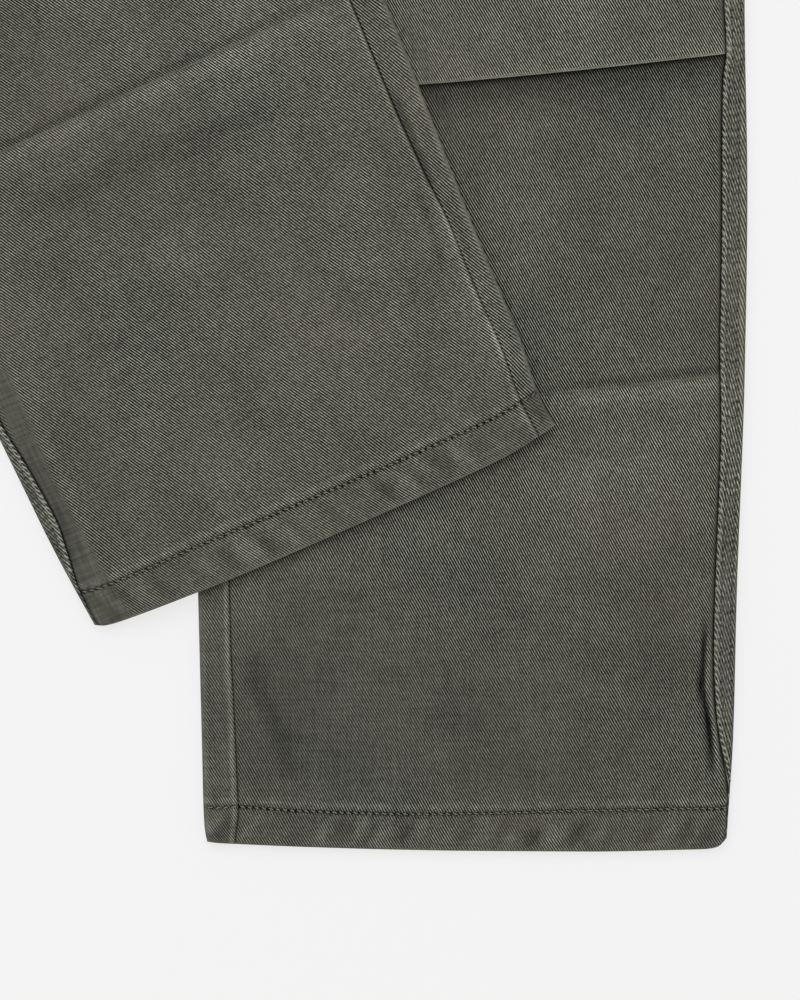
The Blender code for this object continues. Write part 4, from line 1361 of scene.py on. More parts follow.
def row_bands(tuck: tuple[float, ...], thigh: float, thigh_step: float) -> Table:
    """Where a leg's rows lie close: at the hem and at both knee tucks.

    Args:
        tuck: Where the bands around the lower tuck meet, from below.
        thigh: Where the band above the knee ends.
        thigh_step: That band's largest step.

    Returns:
        Each band's start, end and largest step. The upper tuck's lap lies in the gap at 0.4.
    """
    low = (0.0, 0.0015, 0.0170, 0.0260, 0.0340, *tuck, 0.3900, 0.4000)
    low_steps = (0.0004, 0.0014, 0.0004, 0.0012, 0.0026, 0.0012, 0.0004, 0.0016, 0.0030, 0.0012)
    high = (0.4001, 0.4050, 0.4500, thigh, WAIST_LEVEL)
    high_steps = (0.0005, 0.0018, thigh_step, 0.0040)
    return (*zip(low, low[1:], low_steps), *zip(high, high[1:], high_steps))


STRAIGHT_BANDS = row_bands((0.2170, 0.2350, 0.2420, 0.2620), 0.5600, 0.0036)
CROSSED_BANDS = row_bands((0.2140, 0.2325, 0.2390, 0.2600), 0.7400, 0.0030)

STRAIGHT_CREASES = (
    Crease(
        ((0.1215, 0.105), (0.1212, 0.081), (0.124, 0.065), (0.126, 0.0425), (0.127, 0.03)),
        height=0.0011, half_width=0.0028,
    ),
    Crease(
        ((0.1175, 0.112), (0.1178, 0.081), (0.1205, 0.065), (0.1225, 0.0425), (0.1238, 0.031)),
        height=-0.0008, half_width=0.0022,
    ),
    Crease(((0.047, 0.1975), (0.085, 0.1995), (0.127, 0.2)), height=-0.00035, half_width=0.004),
    Crease(((-0.1105, 0.105), (-0.098, 0.075), (-0.083, 0.045)), height=-0.0008, half_width=0.011),
    Crease(((0.02, 0.14), (0.055, 0.112), (0.1, 0.098)), height=0.0005, half_width=0.012),
    Crease(((-0.02, 0.47), (0.04, 0.488), (0.095, 0.482)), height=0.0009, half_width=0.011),
    Crease(((-0.146, 0.8), (-0.09, 0.812), (-0.02, 0.806)), height=0.0016, half_width=0.01),
    Crease(((-0.146, 0.77), (-0.095, 0.752), (-0.045, 0.742)), height=0.0013, half_width=0.009),
    Crease(((-0.144, 0.835), (-0.105, 0.868), (-0.05, 0.882)), height=-0.0009, half_width=0.011),
    Crease(((-0.14, 0.64), (-0.11, 0.6), (-0.06, 0.585)), height=0.001, half_width=0.013),
    Crease(((-0.1, 0.93), (-0.055, 0.915), (-0.005, 0.925)), height=0.0008, half_width=0.012),
)
CROSSED_CREASES = (
    Crease(((-0.233, 0.3125), (-0.165, 0.344), (-0.088, 0.3725)), height=-0.0008, half_width=0.0075),
    Crease(
        ((-0.219, 0.225), (-0.2105, 0.205), (-0.202, 0.185), (-0.193, 0.165), (-0.187, 0.145),
         (-0.183, 0.129)),
        height=0.0013, half_width=0.0048,
    ),
    Crease(
        ((-0.227, 0.215), (-0.215, 0.19), (-0.204, 0.168), (-0.197, 0.15), (-0.191, 0.133)),
        height=-0.0008, half_width=0.0032,
    ),
    Crease(((-0.13, 0.33), (-0.08, 0.3), (-0.045, 0.262)), height=-0.0005, half_width=0.012),
    Crease(((-0.3, 0.44), (-0.24, 0.47), (-0.17, 0.5)), height=0.001, half_width=0.012),
    Crease(((-0.154, 0.8), (-0.21, 0.814), (-0.28, 0.804)), height=0.0016, half_width=0.01),
    Crease(((-0.156, 0.835), (-0.195, 0.868), (-0.25, 0.88)), height=-0.0009, half_width=0.011),
    Crease(((-0.2, 0.93), (-0.245, 0.915), (-0.295, 0.926)), height=0.0008, half_width=0.012),
    Crease(((-0.4, 0.56), (-0.35, 0.575), (-0.3, 0.58)), height=0.0009, half_width=0.01),
)
STRAIGHT_MARKS = (
    # Painted shade in the trough of the soft fold beside the outseam.
    Streak(
        ((0.1201, 0.122), (0.119, 0.107), (0.1184, 0.094), (0.1178, 0.081), (0.121, 0.064),
         (0.1225, 0.047), (0.1238, 0.031)),
        (0.002, 0.0027), light=-0.92, core=0.3, fade=0.24,
    ),
    # Painted highlight on that fold's ridge.
    Streak(
        ((0.1222, 0.112), (0.1212, 0.081), (0.124, 0.065), (0.1255, 0.046), (0.1262, 0.033)),
        (0.0022, 0.0022), light=0.26,
    ),
    # Painted shade in the trough near the inseam.
    Streak(
        ((-0.1105, 0.105), (-0.1043, 0.08), (-0.0894, 0.0467), (-0.08, 0.032)),
        (0.008, 0.0065), light=-0.22,
    ),
    Patch(-0.0525, 0.044, 0.024, 0.014, light=-0.12, clear=-0.2),
    Patch(0.012, 0.041, 0.04, 0.009, light=-0.12, clear=-0.25),
    Patch(0.008, 0.066, 0.022, 0.01, light=-0.1, clear=-0.15),
    # Painted shade in the trough under the lower tuck.
    Streak(((0.042, 0.1972), (0.085, 0.199), (0.13, 0.2)), (0.003, 0.003), light=-0.1),
    Streak(
        ((0.126, 0.1995), (0.117, 0.1912), (0.112, 0.1825), (0.1075, 0.172)),
        (0.003, 0.003), light=0.06, clear=-0.38,
    ),
    Streak(((0.1285, 0.445), (0.1282, 0.412)), (0.0024, 0.0024), light=0.05, clear=-0.85),
    # Painted shade of a soft trough just under the upper tuck, which the relief does not have.
    Streak(((0.111, 0.39), (0.116, 0.376)), (0.004, 0.004), light=-0.22),
    Patch(0.1303, 0.402, 0.002, 0.0032, light=0.6, clear=-0.7),
    # Painted shadow of the crossed leg's edge on this leg.
    Streak(((-0.034, 0.425), (-0.0175, 0.384), (-0.001, 0.345)), (0.0065, 0.005), light=-0.17, clear=-0.35),
    Patch(0.085, 0.192, 0.07, 0.034, light=0.17, clear=0.3),
    Patch(0.06, 0.432, 0.12, 0.036, light=0.17, clear=0.12),
    Patch(0.082, 0.32, 0.12, 0.1, light=-0.03, clear=0.08),
    Patch(-0.01, 0.07, 0.13, 0.06, light=-0.13, clear=-0.3),
    Patch(-0.085, 0.07, 0.05, 0.055, light=-0.11, clear=-0.45),
)
CROSSED_MARKS = (
    Streak(
        ((-0.233, 0.235), (-0.2222, 0.2095), (-0.2118, 0.1874), (-0.2008, 0.1665)),
        (0.0072, 0.005), light=-0.12, clear=-0.95, core=0.6, fade=0.0,
    ),
    Streak(
        ((-0.2008, 0.1665), (-0.1959, 0.1571), (-0.187, 0.1367), (-0.1745, 0.112)),
        (0.0052, 0.0115), light=-0.12, clear=-0.95, core=0.66, fade=0.0,
    ),
    # Painted shade in the trough under the lower tuck.
    Streak(((-0.233, 0.3125), (-0.165, 0.344), (-0.088, 0.3725)), (0.011, 0.011), light=-0.12),
    Streak(((-0.0146, 0.324), (-0.009, 0.3122), (-0.0015, 0.2972)), (0.0013, 0.0013), light=0.5, clear=-0.2),
    # Painted shade beside the inseam, at its upper part.
    Streak(
        ((-0.0395, 0.385), (-0.029, 0.36), (-0.0205, 0.34), (-0.014, 0.325)),
        (0.004, 0.0028), light=-0.42, clear=-0.3,
    ),
    Streak(((-0.009, 0.313), (-0.002, 0.296), (0.017, 0.248), (0.025, 0.228)), (0.015, 0.015), light=0.15),
    Streak(
        ((-0.0301, 0.3944), (-0.0184, 0.3644), (0.0031, 0.3094), (0.019, 0.271)),
        (0.0024, 0.0024), light=0.17,
    ),
    Streak(
        ((-0.0269, 0.3326), (-0.0218, 0.3243), (-0.0147, 0.3039), (-0.0109, 0.2867)),
        (0.0032, 0.0026), light=-0.28,
    ),
    Streak(
        ((-0.013, 0.3295), (-0.0075, 0.3185), (0.001, 0.2985), (0.0045, 0.29)),
        (0.0026, 0.002), light=-0.22,
    ),
    Streak(((0.01, 0.268), (0.0193, 0.2445)), (0.0013, 0.0013), light=0.85, clear=-0.2),
    Streak(((-0.226, 0.193), (-0.211, 0.164), (-0.1968, 0.137)), (0.0042, 0.0026), light=-0.26, clear=-0.2),
    Patch(-0.06, 0.27, 0.11, 0.06, light=0.07, clear=0.2),
    Patch(-0.024, 0.3, 0.04, 0.05, light=0.05, clear=0.1),
    Patch(-0.115, 0.18, 0.1, 0.035, light=0.05, clear=0.1),
    Patch(-0.11, 0.4, 0.09, 0.035, light=0.12, clear=0.3),
)

STRAIGHT = Leg(
    side=Side.LEFT, sections=STRAIGHT_SECTIONS, seams=STRAIGHT_SEAMS, tilts=STRAIGHT_TILTS, bow=1.3,
    droops=STRAIGHT_DROOPS,
    tucks=(
        Tuck(level=0.239, reach=0.15, height=0.0016, lap=0.0, spread=0.024, fold=Fold.TURNED_UP, whole=0.4),
        Tuck(level=0.4, reach=0.26, height=0.0036, lap=0.0065, spread=0.042, fold=Fold.LAPPED_DOWN),
    ),
    ridges=(), creases=STRAIGHT_CREASES, marks=STRAIGHT_MARKS, bands=STRAIGHT_BANDS,
    inseam_beads=(0.0, 0.00035), inseam_shade=(0.50, 0.0007, 1.0), hem_line=STRAIGHT_HEM_LINE,
)
CROSSED = Leg(
    side=Side.RIGHT, sections=CROSSED_SECTIONS, seams=CROSSED_SEAMS, tilts=CROSSED_TILTS, bow=0.0,
    droops=CROSSED_DROOPS,
    tucks=(
        Tuck(level=0.2338, reach=0.3, height=0.0014, lap=0.0, spread=0.024, fold=Fold.TURNED_UP, whole=0.6),
        Tuck(level=0.4, reach=0.2, height=0.0034, lap=0.006, spread=0.04, fold=Fold.LAPPED_DOWN),
    ),
    ridges=CROSSED_RIDGES, creases=CROSSED_CREASES, marks=CROSSED_MARKS, bands=CROSSED_BANDS,
    inseam_beads=(0.00030, 0.0), inseam_shade=(0.95, 0.0014, 0.40), hem_line=CROSSED_HEM_LINE,
    crossed_over=STRAIGHT_SECTIONS,
)


# ---------------- threads


@dataclass
class Thread:
    """Stitches of one thread, each a short soft capsule, joined into one piece."""

    name: str
    finish: PlainFinish
    length: float = 0.0022
    radius: float = 0.00026
    pitch: float = 0.0030
    lean: float = 0.06  # how far each stitch turns from its line, in radians
    parts: list[tuple[Array, Array, Array]] = field(default_factory=list)

    def run(self, points: Array, normals: Array) -> None:
        """Sews along a line.

        Args:
            points: The line's points.
            normals: The cloth's outward directions there.
        """
        lengths = run_length(points)
        count = int(lengths[-1] / self.pitch)
        if count < 1:
            return
        at = (np.arange(count) + 0.5) * lengths[-1] / count

        def read(values: Array, shift: float = 0.0) -> Array:
            """The values a little further along than each stitch."""
            return np.stack([np.interp(at + shift, lengths, values[:, k]) for k in range(3)], 1)

        normal = unit(read(normals))
        way = read(points, 0.0006) - read(points, -0.0006)
        way = unit(way - (way * normal).sum(1, keepdims=True) * normal)
        way = way * math.cos(self.lean) + np.cross(normal, way) * math.sin(self.lean)
        self.parts.append((read(points), way, normal))

    def bar(self, start: Array, end: Array, normal: Array, width: float) -> None:
        """Sews a close bar of stitches from one point to another, as a bar tack is.

        Args:
            start: The bar's first end.
            end: Its other end.
            normal: The cloth's outward direction.
            width: The length of each stitch across it.
        """
        length = np.linalg.norm(end - start)
        count = max(3, int(length / 0.00046))
        place = start + (end - start) * np.linspace(0.0, 1.0, count)[:, None]
        way = np.cross(normal, (end - start) / length) * width / self.length
        self.parts.append((place, np.repeat(way[None], count, 0), np.repeat(normal[None], count, 0)))

    def strand(self, start: Array, end: Array, normal: Array) -> None:
        """Lays one straight strand from one point to another."""
        way = (end - start) / self.length
        self.parts.append(((start + end)[None] / 2, way[None], normal[None]))

    def build(self) -> bpy.types.Object:
        """Makes the piece.

        Returns:
            The new object.
        """
        bpy.ops.object.select_all(action="DESELECT")
        bpy.ops.mesh.primitive_uv_sphere_add(segments=6, ring_count=4, radius=1.0)
        model = bpy.context.object
        bpy.ops.object.mode_set(mode="EDIT")
        bpy.ops.mesh.select_all(action="SELECT")
        bpy.ops.transform.rotate(value=math.pi / 2, orient_axis="Y", center_override=(0.0, 0.0, 0.0))
        bpy.ops.transform.resize(value=(self.length / 2, self.radius, self.radius))
        bpy.ops.object.mode_set(mode="OBJECT")
        base = np.array([vertex.co[:] for vertex in model.data.vertices])
        shape = [list(polygon.vertices) for polygon in model.data.polygons]
        bpy.data.objects.remove(model, do_unlink=True)
        points, faces, first = [], [], 0
        for place, way, normal in self.parts:
            side = np.cross(normal, unit(way))
            stitches = place[:, None] + base[None, :, :1] * way[:, None] + base[None, :, 1:2] * side[:, None]
            stitches = stitches + base[None, :, 2:] * normal[:, None]
            points.append(stitches.reshape(-1, 3))
            for at in range(first, first + len(points[-1]), len(base)):
                faces += [[at + corner for corner in polygon] for polygon in shape]
            first += len(points[-1])
        mesh = bpy.data.meshes.new(self.name)
        mesh.from_pydata(np.concatenate(points).tolist(), [], faces)
        mesh.shade_smooth()
        mesh.materials.append(self.finish.material())
        made = linked(self.name, mesh)
        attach(made, "root")
        LOG.info("%s: %d stitches", self.name, sum(len(part[0]) for part in self.parts))
        return made


# ---------------- smaller pieces


@dataclass
class SewnPiece:
    """A smaller cut piece laid out on a regular grid, stitched down near some of its edges.

    `base` and `outward` are where its inner side lies and which way it faces. `up` and `across` are
    the grid's places in metres, and `weave` is where its points lie on its cloth.
    """

    name: str
    base: Array
    outward: Array
    up: Array
    across: Array
    sewn_edges: tuple[Edge, ...]
    weave: Array
    stitch_rows: tuple[float, ...] = (0.0018, 0.0080)
    thickness: float = CLOTH
    slot: str = "trim_cloth"
    finish: TwillFinish = TRIM_TWILL
    swell: Array | float = 0.0
    groove: Pair = (0.00022, 0.0009)  # the depth and half width of a row of stitches
    pucker: Pair = (0.00016, 0.0040)  # the height and reach of the puckers beside it
    roll: Pair = (0.00045, 0.0012)  # how far the edge is rolled down, and over what

    def from_edge(self, edge: Edge) -> tuple[Array, Array]:
        """How far every point is from an edge, and its place along that edge."""
        up, across = np.meshgrid(self.up, self.across, indexing="ij")
        return {
            Edge.FIRST_ROW: (up, across),
            Edge.LAST_ROW: (self.up[-1] - up, across),
            Edge.FIRST_COLUMN: (across, up),
            Edge.LAST_COLUMN: (self.across[-1] - across, up),
        }[edge]

    def shell(self) -> Shell:
        """Makes the piece's shell, with rolled edges and a groove along each row of stitches.

        Returns:
            The shell, in the axes of its base.
        """
        rim = np.min([self.from_edge(edge)[0] for edge in Edge], axis=0)
        away, along = [np.full(rim.shape, 1.0)], [rim]
        for edge in self.sewn_edges:
            distance, place = self.from_edge(edge)
            for row in self.stitch_rows:
                away.append(distance - row)
                along.append(place)
        sewn = nearest_row(away, along, [0.0] + [0.9] * (len(away) - 1))
        grooves = self.groove[0] * hump(sewn[..., 0] / self.groove[1])
        wave = np.sin(sewn[..., 1] * 640.0 + 2.0 * np.sin(sewn[..., 1] * 190.0))
        puffed = self.pucker[0] * wave * hump(sewn[..., 0] / self.pucker[1])
        rolled = self.roll[0] * (1 - ease(rim / self.roll[1]))
        relief = puffed * ease(rim / 0.002) - grooves - rolled + self.swell
        outer = self.base + self.outward * (self.thickness + relief)[..., None]
        outer[..., 2] = np.maximum(outer[..., 2], 0.0)
        light = 1 + 0.20 * hump((rim - 0.0007) / 0.0011) + np.clip(relief / 0.001, -0.4, 0.8) * 0.14
        clear = 1 - 0.55 * (1 - ease(rim / 0.0025))
        brown = 0.4 + 0.3 * np.sin(self.up[:, None] * 61.0) * np.sin(self.across[None, :] * 83.0 + 1.0)
        return Shell(outer, self.base, self.weave, np.stack([light, clear, brown], -1), sewn)

    def sew(self, shell: Shell, thread: Thread, only: slice = slice(None)) -> None:
        """Sews the piece's rows of stitches.

        Args:
            shell: The piece's shell, where it lies in the end.
            thread: The thread to sew with.
            only: The part of the columns that is sewn along the first and the last row.
        """
        columns = np.arange(len(self.across), dtype=float)[only]
        for edge in self.sewn_edges:
            for row in self.stitch_rows:
                if edge in (Edge.FIRST_ROW, Edge.LAST_ROW):
                    near = row if edge is Edge.FIRST_ROW else self.up[-1] - row
                    place = self.across[only]
                    along = columns[(place > row) & (place < self.across[-1] - row)]
                    rows = np.full(len(along), numbered(near, self.up))
                else:
                    near = row if edge is Edge.FIRST_COLUMN else self.across[-1] - row
                    rows = np.arange(len(self.up), dtype=float)
                    rows = rows[(self.up > row) & (self.up < self.up[-1] - row)]
                    along = np.full(len(rows), numbered(near, self.across))
                thread.run(*shell.on(rows, along, IN_CLOTH))

    def at(self, up: float, across: float) -> tuple[Array, Array]:
        """The fractional row and column of a place on the piece, in metres."""
        return np.array([numbered(up, self.up)]), np.array([numbered(across, self.across)])

    def tack(self, shell: Shell, thread: Thread, up: float, across: float, reach: Pair) -> None:
        """Sews a bar tack.

        Args:
            shell: The piece's shell, where it lies in the end.
            thread: The thread to sew with.
            up: The tack's first end on the piece, in metres.
            across: The same, across the piece.
            reach: How far its other end is from that, up and across.
        """
        start, normal = shell.on(*self.at(up, across), 0.0001)
        end, _ = shell.on(*self.at(up + reach[0], across + reach[1]), 0.0001)
        thread.bar(start[0], end[0], normal[0], 0.0019)


@dataclass(frozen=True)
class Layout:
    """Where the layout's origin lies in the frame."""

    shift: Pair

    @staticmethod
    def from_frame() -> "Layout":
        """Reads the shift from the fly placket's and the waistband's solids."""
        fly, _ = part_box("fly_placket")
        band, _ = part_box("waistband")
        return Layout((fly.x - CENTRE_X - SEAM_GAP / 2, band.y - WAIST_LEVEL - SEAM_GAP))

    def cloth(self, shell: Shell, name: str, finish: TwillFinish, slot: str, flat: Pair) -> Shell:
        """Builds a shell where it belongs, in place of the solid of the same name.

        Args:
            shell: The shell in the layout's axes.
            name: The solid's name.
            finish: Its finish.
            slot: Not used.
            flat: The width and length that it was cut to.

        Returns:
            The shell, moved into the frame's axes.
        """
        shift = np.array([self.shift[0], self.shift[1], 0.0])
        shell.outer, shell.inner = shell.outer + shift, shell.inner + shift
        made = shell.build(name + "_cloth")
        made.data.materials.append(finish.material())
        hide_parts(name)
        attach(made, "root")
        float(shell.area() * HIDDEN_CLOTH)
        LOG.info("%s: %.4f square metres, cut %.3f by %.3f", name, shell.area(), *flat)
        return shell

    def sewn(self, piece: SewnPiece, flat: Pair) -> Shell:
        """Builds a smaller piece where it belongs, and returns its shell in the frame's axes."""
        return self.cloth(piece.shell(), piece.name, piece.finish, piece.slot, flat)


@dataclass
class LegPiece:
    """A leg of the garment: its two panels, its pockets, and all that is sewn on it."""

    leg: Leg
    layout: Layout
    thread: Thread
    pocket_levels: Pair
    flap_levels: Pair
    pocket_insets: Pair = (0.024, 0.174)
    flap_insets: Pair = (0.020, 0.178)
    hem_pitch: float = 0.0035
    fullness: float = 0.0030
    pocket_cell: float = 0.0034
    front_cut: Pair = (0.330, 1.110)
    back_cut: Pair = (0.390, 1.110)
    pocket_cut: Pair = (0.180, 0.235)
    flap_cut: Pair = (0.182, 0.112)
    hip_cut: Pair = (0.028, 0.184)
    buttonhole: float = 0.033  # from the flap's sides
    hip_size: Pair = (0.176, 0.022)
    hip_levels: Pair = (1.028, 0.880)
    hip_insets: Pair = (0.100, 0.0165)
    hip_bend: float = 0.8

    def build(self) -> tuple[Array, Array]:
        """Makes the leg.

        Returns:
            The top rows of the front and of the back panel, for the waistband.
        """
        side = self.leg.side.value
        front, front_rows, front_top = self.leg.front()
        back, back_rows, back_top = self.leg.back()
        front = self.layout.cloth(front, "front_" + side, PANEL_TWILL, "panel_cloth", self.front_cut)
        back = self.layout.cloth(back, "back_" + side, PANEL_TWILL, "panel_cloth", self.back_cut)
        self.sew_hem(front, front_rows, back, back_rows)
        self.sew_outseam(back, back_rows)
        if self.leg.side is Side.LEFT:
            self.sew_rise(front, front_rows)
        self.pocket()
        self.flap()
        self.hip_band()
        return front_top, back_top

    def sew_hem(self, front: Shell, front_rows: Array, back: Shell, back_rows: Array) -> None:
        """Sews the hem across the front and across the part of the back that is on top.

        Args:
            front: The front panel, in the frame's axes.
            front_rows: The levels of its rows.
            back: The back panel.
            back_rows: The levels of its rows.
        """
        name = "hem_stitches_" + self.leg.side.value
        thread = Thread(name, HEM_THREAD, 0.0029, 0.00037, pitch=self.hem_pitch, lean=0.30)
        columns = np.linspace(1.0, front.outer.shape[1] - 2.0, 500)
        rows = np.full(500, numbered(HEM, front_rows))
        thread.run(*front.on(rows, columns, ON_CLOTH))
        columns = back.outer.shape[1] - np.linspace(self.leg.STRIP_STEPS - 2.5, 1.5, 60)
        rows = np.full(60, numbered(HEM, back_rows))
        thread.run(*back.on(rows, columns, ON_CLOTH))
        thread.build()

    def sew_outseam(self, back: Shell, back_rows: Array) -> None:
        """Sews the three rows of the felled outseam, on the back panel's strip."""
        side = self.leg.side.value
        thread = Thread("outseam_stitches_" + side, SEAM_THREAD, 0.0020, 0.00022, pitch=0.0029, lean=0.12)
        level = np.linspace(0.030, WAIST_LEVEL - 0.001, 900)
        rows = numbered(level, back_rows)
        seam = self.leg.seam(level, np.zeros(level.shape, bool))
        for row in self.leg.STITCH_ROWS:
            shown = seam - row > 0.0012
            columns = self.leg.STRIP_STEPS * row / seam
            thread.run(*back.on(rows[shown], columns[shown], IN_CLOTH))
        thread.build()
        cord = Thread("outseam_cord_" + side, SEAM_CORD, 0.0032, 0.00041, pitch=0.0033, lean=0.58)
        columns = self.leg.STRIP_STEPS * 0.0011 / seam
        cord.run(*back.on(rows, columns, ON_CLOTH))
        cord.build()

    def sew_rise(self, front: Shell, front_rows: Array) -> None:
        """Sews the two rows beside the centre seam, from the crotch to the fly."""
        level = np.linspace(0.790, 0.866, 120)
        rows = numbered(level, front_rows)
        for away in (0.0018, 0.0078):
            columns = np.full(120, front.outer.shape[1] - 1 - numbered(away, self.leg.NEAR))
            self.thread.run(*front.on(rows, columns))

    def bag_fullness(self, level: Array, inset: Array) -> Array:
        """How far the pocket bag stands off the leg."""
        up = (level - self.pocket_levels[0]) / (self.pocket_levels[1] - self.pocket_levels[0])
        middle = sum(self.pocket_insets) / 2
        over = np.abs(inset - middle) / (self.pocket_insets[1] - middle)
        return self.fullness * ease(up / 0.2) * ease((1 - over) / 0.4)

    def grid(self, levels: Pair, insets: Pair) -> tuple[Array, Array, Array, Array]:
        """A piece's grid between two levels and two insets: its places, and its levels and insets."""
        up = edged(levels[1] - levels[0], self.pocket_cell)
        across = edged(insets[1] - insets[0], self.pocket_cell)
        return up, across, *np.meshgrid(levels[0] + up, insets[0] + across, indexing="ij")

    def weave(self, level: Array, inset: Array, phase: float) -> Array:
        """Where a piece's points lie on its cloth, so that its twill leans as the leg's does."""
        return np.stack([inset * (1.0 if self.leg.crossed() else -1.0) + phase, level], -1)

    def pocket(self) -> None:
        """Makes the cargo pocket's bag, a patch that is fuller in its middle."""
        up, across, level, inset = self.grid(self.pocket_levels, self.pocket_insets)
        base, outward = self.leg.top(level, inset)
        x, y = level * 100.0, inset * 100.0
        piece = SewnPiece(
            name="cargo_pocket_" + self.leg.side.value,
            base=base + outward * (LAY_GAP + self.bag_fullness(level, inset))[..., None], outward=outward,
            up=up, across=across, sewn_edges=(Edge.FIRST_ROW, Edge.FIRST_COLUMN, Edge.LAST_COLUMN),
            weave=self.weave(level, inset, 0.0004), slot="panel_cloth", finish=PANEL_TWILL,
            swell=0.00030 * np.sin(x * 2.3 + y * 0.9) * np.sin(y * 1.7 - x * 0.6 + 1.0),
        )
        shell = self.layout.sewn(piece, self.pocket_cut)
        piece.sew(shell, self.thread)

    def flap(self) -> None:
        """Makes the cargo pocket's flap with its buttonholes, over the bag's top."""
        up, across, level, inset = self.grid(self.flap_levels, self.flap_insets)
        base, outward = self.leg.top(level, inset)
        bag = self.bag_fullness(level, np.clip(inset, *self.pocket_insets)) + CLOTH + 0.0005
        rise = bag * ease((self.flap_levels[1] - level) / (self.flap_levels[1] - self.pocket_levels[1]))
        piece = SewnPiece(
            name="cargo_flap_" + self.leg.side.value, base=base + outward * (LAY_GAP + rise)[..., None],
            outward=outward, up=up, across=across,
            sewn_edges=(Edge.FIRST_ROW, Edge.LAST_ROW, Edge.FIRST_COLUMN, Edge.LAST_COLUMN),
            weave=self.weave(level, inset, 0.0009),
        )
        shell = self.layout.sewn(piece, self.flap_cut)
        piece.sew(shell, self.thread)
        for place in (self.buttonhole, across[-1] - self.buttonhole):
            for side in (-SLOT_HALF, SLOT_HALF):
                piece.tack(shell, self.thread, 0.0035, place + side, (0.021, 0.0))
        for place in (0.0015, across[-1] - 0.0095):
            piece.tack(shell, self.thread, up[-1] - 0.0045, place, (0.0, 0.0080))

    def hip_band(self) -> None:
        """Makes the slant band along the hip pocket's mouth, from the waist seam to the outseam."""
        length, width = self.hip_size
        up, across = edged(length, 0.0030), edged(width, 0.0030)
        share, over = np.meshgrid(1 - up / up[-1], across / across[-1], indexing="ij")
        (high, low), (inner, outer) = self.hip_levels, self.hip_insets
        level = high + (low - high) * share
        inset = inner + (outer - inner) * share**self.hip_bend + width * over
        base, outward = self.leg.top(level, inset)
        piece = SewnPiece(
            name="hip_pocket_" + self.leg.side.value, base=base + outward * LAY_GAP, outward=outward,
            up=up, across=across, sewn_edges=(Edge.FIRST_COLUMN, Edge.LAST_COLUMN), stitch_rows=(0.0018,),
            weave=self.weave(level, inset, 0.0002),
        )
        shell = self.layout.sewn(piece, self.hip_cut)
        piece.sew(shell, self.thread)
        for place in (0.004, up[-1] - 0.010):
            piece.tack(shell, self.thread, place, 0.0010, (0.0, 0.0100))


